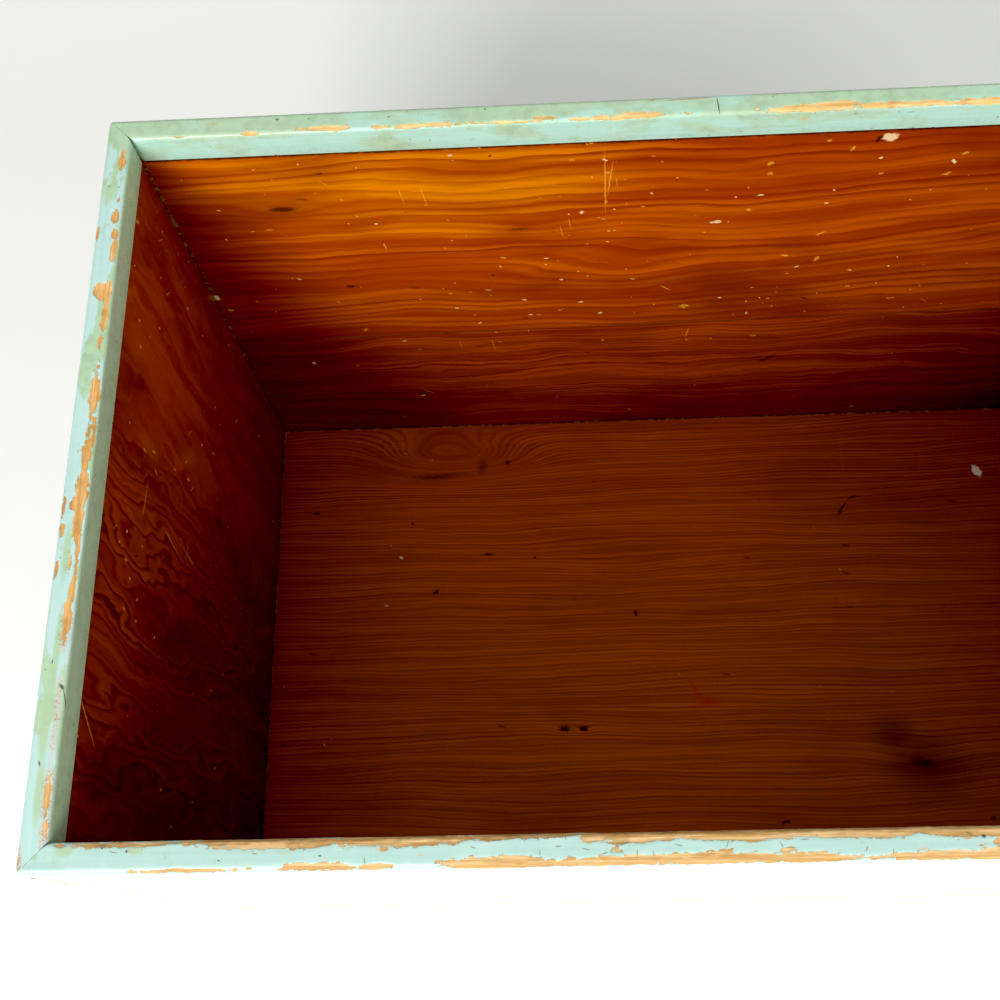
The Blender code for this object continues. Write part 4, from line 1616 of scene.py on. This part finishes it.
    def front_rim_marks(self) -> tuple[PlacedMark, ...]:
        """Sage showing through, dark dents and cracks of the front moulding."""
        return marks_at(self.on_long_rim, {
            MarkKind.SAGE: ((22, 10.3, 4.0, 2.0), (54, 10.1, 3.0, 1.8), (9, 8.0, 1.2, 1.6)),
            MarkKind.DARK: ((39, 11.4, 0.5, 0.4), (50, 9.8, 0.4, 0.7), (422, 9.6, 0.9, 0.8)),
            MarkKind.CRACK: (
                (44, 9.6, 2.0, 0.25, 0.2), (107, 7.9, 1.4, 0.25), (269, 9.4, 2.2, 0.25, -0.5),
                (274, 5.0, 0.25, 1.8, 0.1), (281, 4.9, 0.25, 1.4, -0.2), (313, 8.4, 0.25, 1.8, 0.4),
                (336, 7.6, 0.3, 1.6, -0.4), (372, 5.2, 0.3, 1.2, 0.5), (383, 3.6, 0.25, 1.4, 0.2),
                (340, 6.4, 2.4, 0.25), (252, 7.2, 1.6, 0.25, 0.3), (416, 10.8, 2.0, 0.4, 0.6),
                (346, 9.6, 1.8, 0.25), (232, 6.2, 0.25, 1.3), (203, 8.8, 1.4, 0.25, 0.3),
                (292, 8.2, 1.8, 0.25, 0.2), (260, 5.4, 1.4, 0.3, -0.3), (240, 8.6, 1.2, 0.3),
            ),
            MarkKind.TAN: ((162, 8.5, 1.6, 0.5), (396, 4.8, 1.4, 0.5), (180, 6.0, 1.4, 0.3)),
        }, soft=0.5)

    def left_rim_marks(self) -> tuple[PlacedMark, ...]:
        """Dents, a splintered crack and sage showing through on the left moulding."""
        return marks_at(self.on_end_rim, {
            MarkKind.SAGE: ((36, 7.4, 14.0, 2.0), (66, 6.4, 16.0, 2.4), (100, 7.6, 20.0, 1.6),
                            (150, 6.6, 14.0, 1.8)),
            MarkKind.DARK: ((49, 6.0, 1.3, 0.35, 0.3), (78, 15.2, 5.0, 0.4, 0.4), (84, 12.2, 1.8, 0.8, 0.8),
                            (8, 13.6, 5.0, 1.6), (96, 6.2, 1.0, 0.3)),
        }, soft=0.5)

    @staticmethod
    def back_wear() -> tuple[Wear, ...]:
        """The back moulding: knocks along its inner edge, growing into one long splintered band."""
        return tuple(Wear(*row) for row in (
            (40, 13.6, 3.0, 0.8), (82, 13.6, 4.0, 1.6), (123, 12.6, 14.0, 1.9),
            (151, 13.2, 5.0, 1.5), (178, 13.6, 20.0, 1.3), (186, 0.6, 3.0, 0.9),
            (222, 13.8, 16.0, 1.2), (245, 11.8, 5.5, 1.3), (266, 13.6, 6.0, 1.0),
            (294, 12.9, 22.0, 2.2), (304, 2.4, 2.0, 0.8), (361, 12.8, 3.0, 1.6),
            (392, 13.3, 30.0, 2.9), (405, 11.0, 16.0, 2.1), (440, 13.0, 34.0, 2.4),
            (500, 13.2, 46.0, 2.7), (515, 11.6, 20.0, 2.0), (585, 13.4, 40.0, 2.3),
            (640, 1.0, 16.0, 1.5), (668, 13.4, 24.0, 2.1), (724, 13.2, 14.0, 1.8),
        ))

    @staticmethod
    def front_wear() -> tuple[Wear, ...]:
        """The front moulding: both edges rubbed bare for most of their length."""
        inner = (
            (19, 13.4, 3.0, 1.2), (44, 13.4, 17.0, 1.8), (68, 13.8, 12.0, 0.9),
            (106, 13.6, 34.0, 3.4), (128, 12.6, 14.0, 3.4), (172, 13.6, 34.0, 4.0),
            (164, 9.0, 2.0, 1.6), (222, 14.4, 34.0, 2.6), (272, 13.8, 26.0, 4.2),
            (320, 13.6, 36.0, 4.0), (372, 13.8, 34.0, 4.2), (424, 13.6, 32.0, 4.6),
            (480, 13.9, 40.0, 3.3), (548, 13.8, 44.0, 3.9), (620, 13.9, 40.0, 2.6),
            (690, 13.8, 36.0, 3.2),
        )
        outer = (
            (75, 0.3, 20.0, 1.5), (136, 0.8, 16.0, 2.8), (158, 0.4, 12.0, 2.0),
            (214, 1.2, 26.0, 3.8), (258, 1.0, 32.0, 3.3), (302, 1.2, 28.0, 3.9),
            (344, 1.1, 26.0, 3.4), (402, 0.9, 28.0, 2.9), (430, 1.4, 18.0, 3.6),
            (486, 0.9, 32.0, 3.0), (560, 0.8, 26.0, 2.6), (634, 0.9, 30.0, 3.1),
            (706, 0.5, 22.0, 2.4), (265, 6.2, 3.0, 1.0), (313, 5.4, 2.6, 1.2),
            (337, 5.2, 3.6, 0.9), (428, 7.2, 5.0, 1.6),
        )
        return tuple(Wear(*row) for row in inner + outer)

    @staticmethod
    def left_wear() -> tuple[Wear, ...]:
        """The left moulding: a long bare band along the inner edge, rubbed thin towards the front."""
        bare = tuple(
            Wear(406 - from_back, across, half_length, half_width)
            for from_back, across, half_length, half_width in (
                (28, 11.2, 5.5, 2.2), (46, 10.6, 1.2, 0.6), (52, 11.2, 1.4, 0.6), (65, 10.6, 4.0, 2.2),
                (75, 11.8, 3.4, 2.4), (87, 12.8, 7.5, 2.0), (74, 0.8, 4.2, 1.2), (111, 8.8, 5.5, 4.8),
                (124, 11.6, 18.0, 1.9), (140, 10.8, 5.0, 1.2), (172, 11.4, 15.0, 2.6), (193, 10.4, 8.0, 1.1),
                (194, 13.6, 7.0, 1.0), (206, 10.8, 8.0, 2.5), (224, 10.8, 11.0, 3.2), (231, 8.6, 5.0, 3.2),
                (240, 10.6, 10.0, 2.6), (254, 12.0, 10.0, 1.2), (234, 1.6, 7.0, 1.2), (243, 2.2, 4.0, 2.2),
                (265, 1.8, 3.4, 1.5), (261, 8.6, 3.6, 1.0), (274, 11.8, 7.0, 1.8), (290, 11.0, 9.0, 2.6),
                (371, 11.4, 6.0, 2.0), (387, 12.4, 3.4, 1.5), (400, 1.0, 3.0, 1.2),
            )
        )
        return bare + (Wear(70, 11.4, 46.0, 3.6, 3.9), Wear(36, 11.2, 30.0, 3.2, 3.4))

    def right_wear(self) -> tuple[Wear, ...]:
        """The right moulding: like the left one turned end for end."""
        run = 2 * self.sizes.half_depth / MM
        return tuple(Wear(run - patch.along, patch.across, patch.half_length, patch.half_width, patch.thin)
                     for patch in self.left_wear())

    def nails(self) -> None:
        """Every nail: rim nails rusted through the aqua, wall nails mostly white."""
        white = RustedNail("wall_nail", (0.86, 0.87, 0.84), 0.72)
        aqua = RustedNail("rim_nail", (0.50, 0.68, 0.60), 0.45)
        for node in sorted(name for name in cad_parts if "nail" in name):
            self.pieces.append(Nail(node, aqua if node.startswith("rim") else white).build())


# ---------------------------------------------------------------------------------------------------------
# The studio
# ---------------------------------------------------------------------------------------------------------


@dataclass(frozen=True)
class Softbox:
    """A square area light that shines at one point."""

    name: str
    place: tuple[float, float, float]
    aim: tuple[float, float, float]
    side: float
    watts: float
    colour: Colour = (1.0, 0.99, 0.97)

    def hang(self) -> None:
        """Add the light."""
        data = bpy.data.lights.new(self.name, "AREA")
        data.shape = "SQUARE"
        data.size = self.side
        data.energy = self.watts
        data.color = self.colour
        lamp = bpy.data.objects.new(self.name, data)
        lamp.location = self.place
        lamp.rotation_euler = (Vector(self.aim) - Vector(self.place)).to_track_quat("-Z", "Y").to_euler()
        bpy.context.scene.collection.objects.link(lamp)


@dataclass
class Studio:
    """A pale floor, two softboxes, a dim room and the camera."""

    lights: tuple[Softbox, ...] = (
        Softbox("key_left", (-1.12, -2.40, 1.95), (0.0, 0.0, 0.35), 1.40, 86.0),
        Softbox("fill_right", (2.05, -2.05, 2.10), (0.0, 0.0, 0.35), 1.60, 46.0),
    )
    camera_place: tuple[float, float, float] = (-0.1411, -0.2365, 0.9445)
    camera_turn: tuple[float, float, float] = (20.876, 2.770, -0.812)
    camera_lens: float = 42.5
    floor_side: float = 9.0
    room_light: float = 0.58
    room_seen: float = 0.92
    room_shine: float = 0.04
    black_level: float = 0.008

    def build(self) -> None:
        """Set the floor, the lights, the room and the camera."""
        self.floor()
        for light in self.lights:
            light.hang()
        self.room()
        self.camera()
        self.exposure()

    def exposure(self) -> None:
        """Show colours as they are, with a slightly raised black level for deep reds inside the box."""
        view = bpy.context.scene.view_settings
        view.view_transform = "Standard"
        view.use_curve_mapping = True
        view.curve_mapping.black_level = (self.black_level,) * 3
        view.curve_mapping.update()

    def floor(self) -> None:
        """A flat pale floor under the box."""
        half = self.floor_side / 2
        points = np.array([(-half, -half, 0.0), (half, -half, 0.0), (half, half, 0.0), (-half, half, 0.0)])
        floor = new_piece("floor", points, [(0, 1, 2, 3)])
        floor.data.materials.append(StudioFloor().material())
        floor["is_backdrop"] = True

    def room(self) -> None:
        """A pale room that lights softly, but hardly shows in the varnish."""
        world = bpy.data.worlds.new("room")
        world.use_nodes = True
        world.node_tree.nodes.clear()
        graph = Graph(world.node_tree)
        path = graph.add("LightPath").outputs
        background = graph.add("Background")
        background.inputs["Color"].default_value = (1.0, 1.0, 0.99, 1.0)
        lit = graph.blend(Term(graph, path["Is Camera Ray"]), self.room_light, self.room_seen)
        glossy = Term(graph, path["Is Glossy Ray"])
        graph.put(background.inputs["Strength"], graph.blend(glossy, lit, self.room_shine))
        graph.put(graph.add("OutputWorld").inputs["Surface"], Term(graph, background.outputs[0]))
        bpy.context.scene.world = world

    def camera(self) -> None:
        """A camera above the front left of the box, looking steeply down into it."""
        data = bpy.data.cameras.new("camera")
        data.lens = self.camera_lens
        data.sensor_width = 36.0
        camera = bpy.data.objects.new("camera", data)
        camera.location = self.camera_place
        camera.rotation_euler = Euler([math.radians(angle) for angle in self.camera_turn], "XYZ")
        bpy.context.scene.collection.objects.link(camera)
        bpy.context.scene.camera = camera


def main() -> None:
    """Set up logging, and build the box and the studio."""
    logging.basicConfig(level=logging.INFO, format="%(name)s: %(message)s")
    WoodenBox(BoxSizes.from_frame()).build()
    Studio().build()


if __name__ == "__main__":
    main()
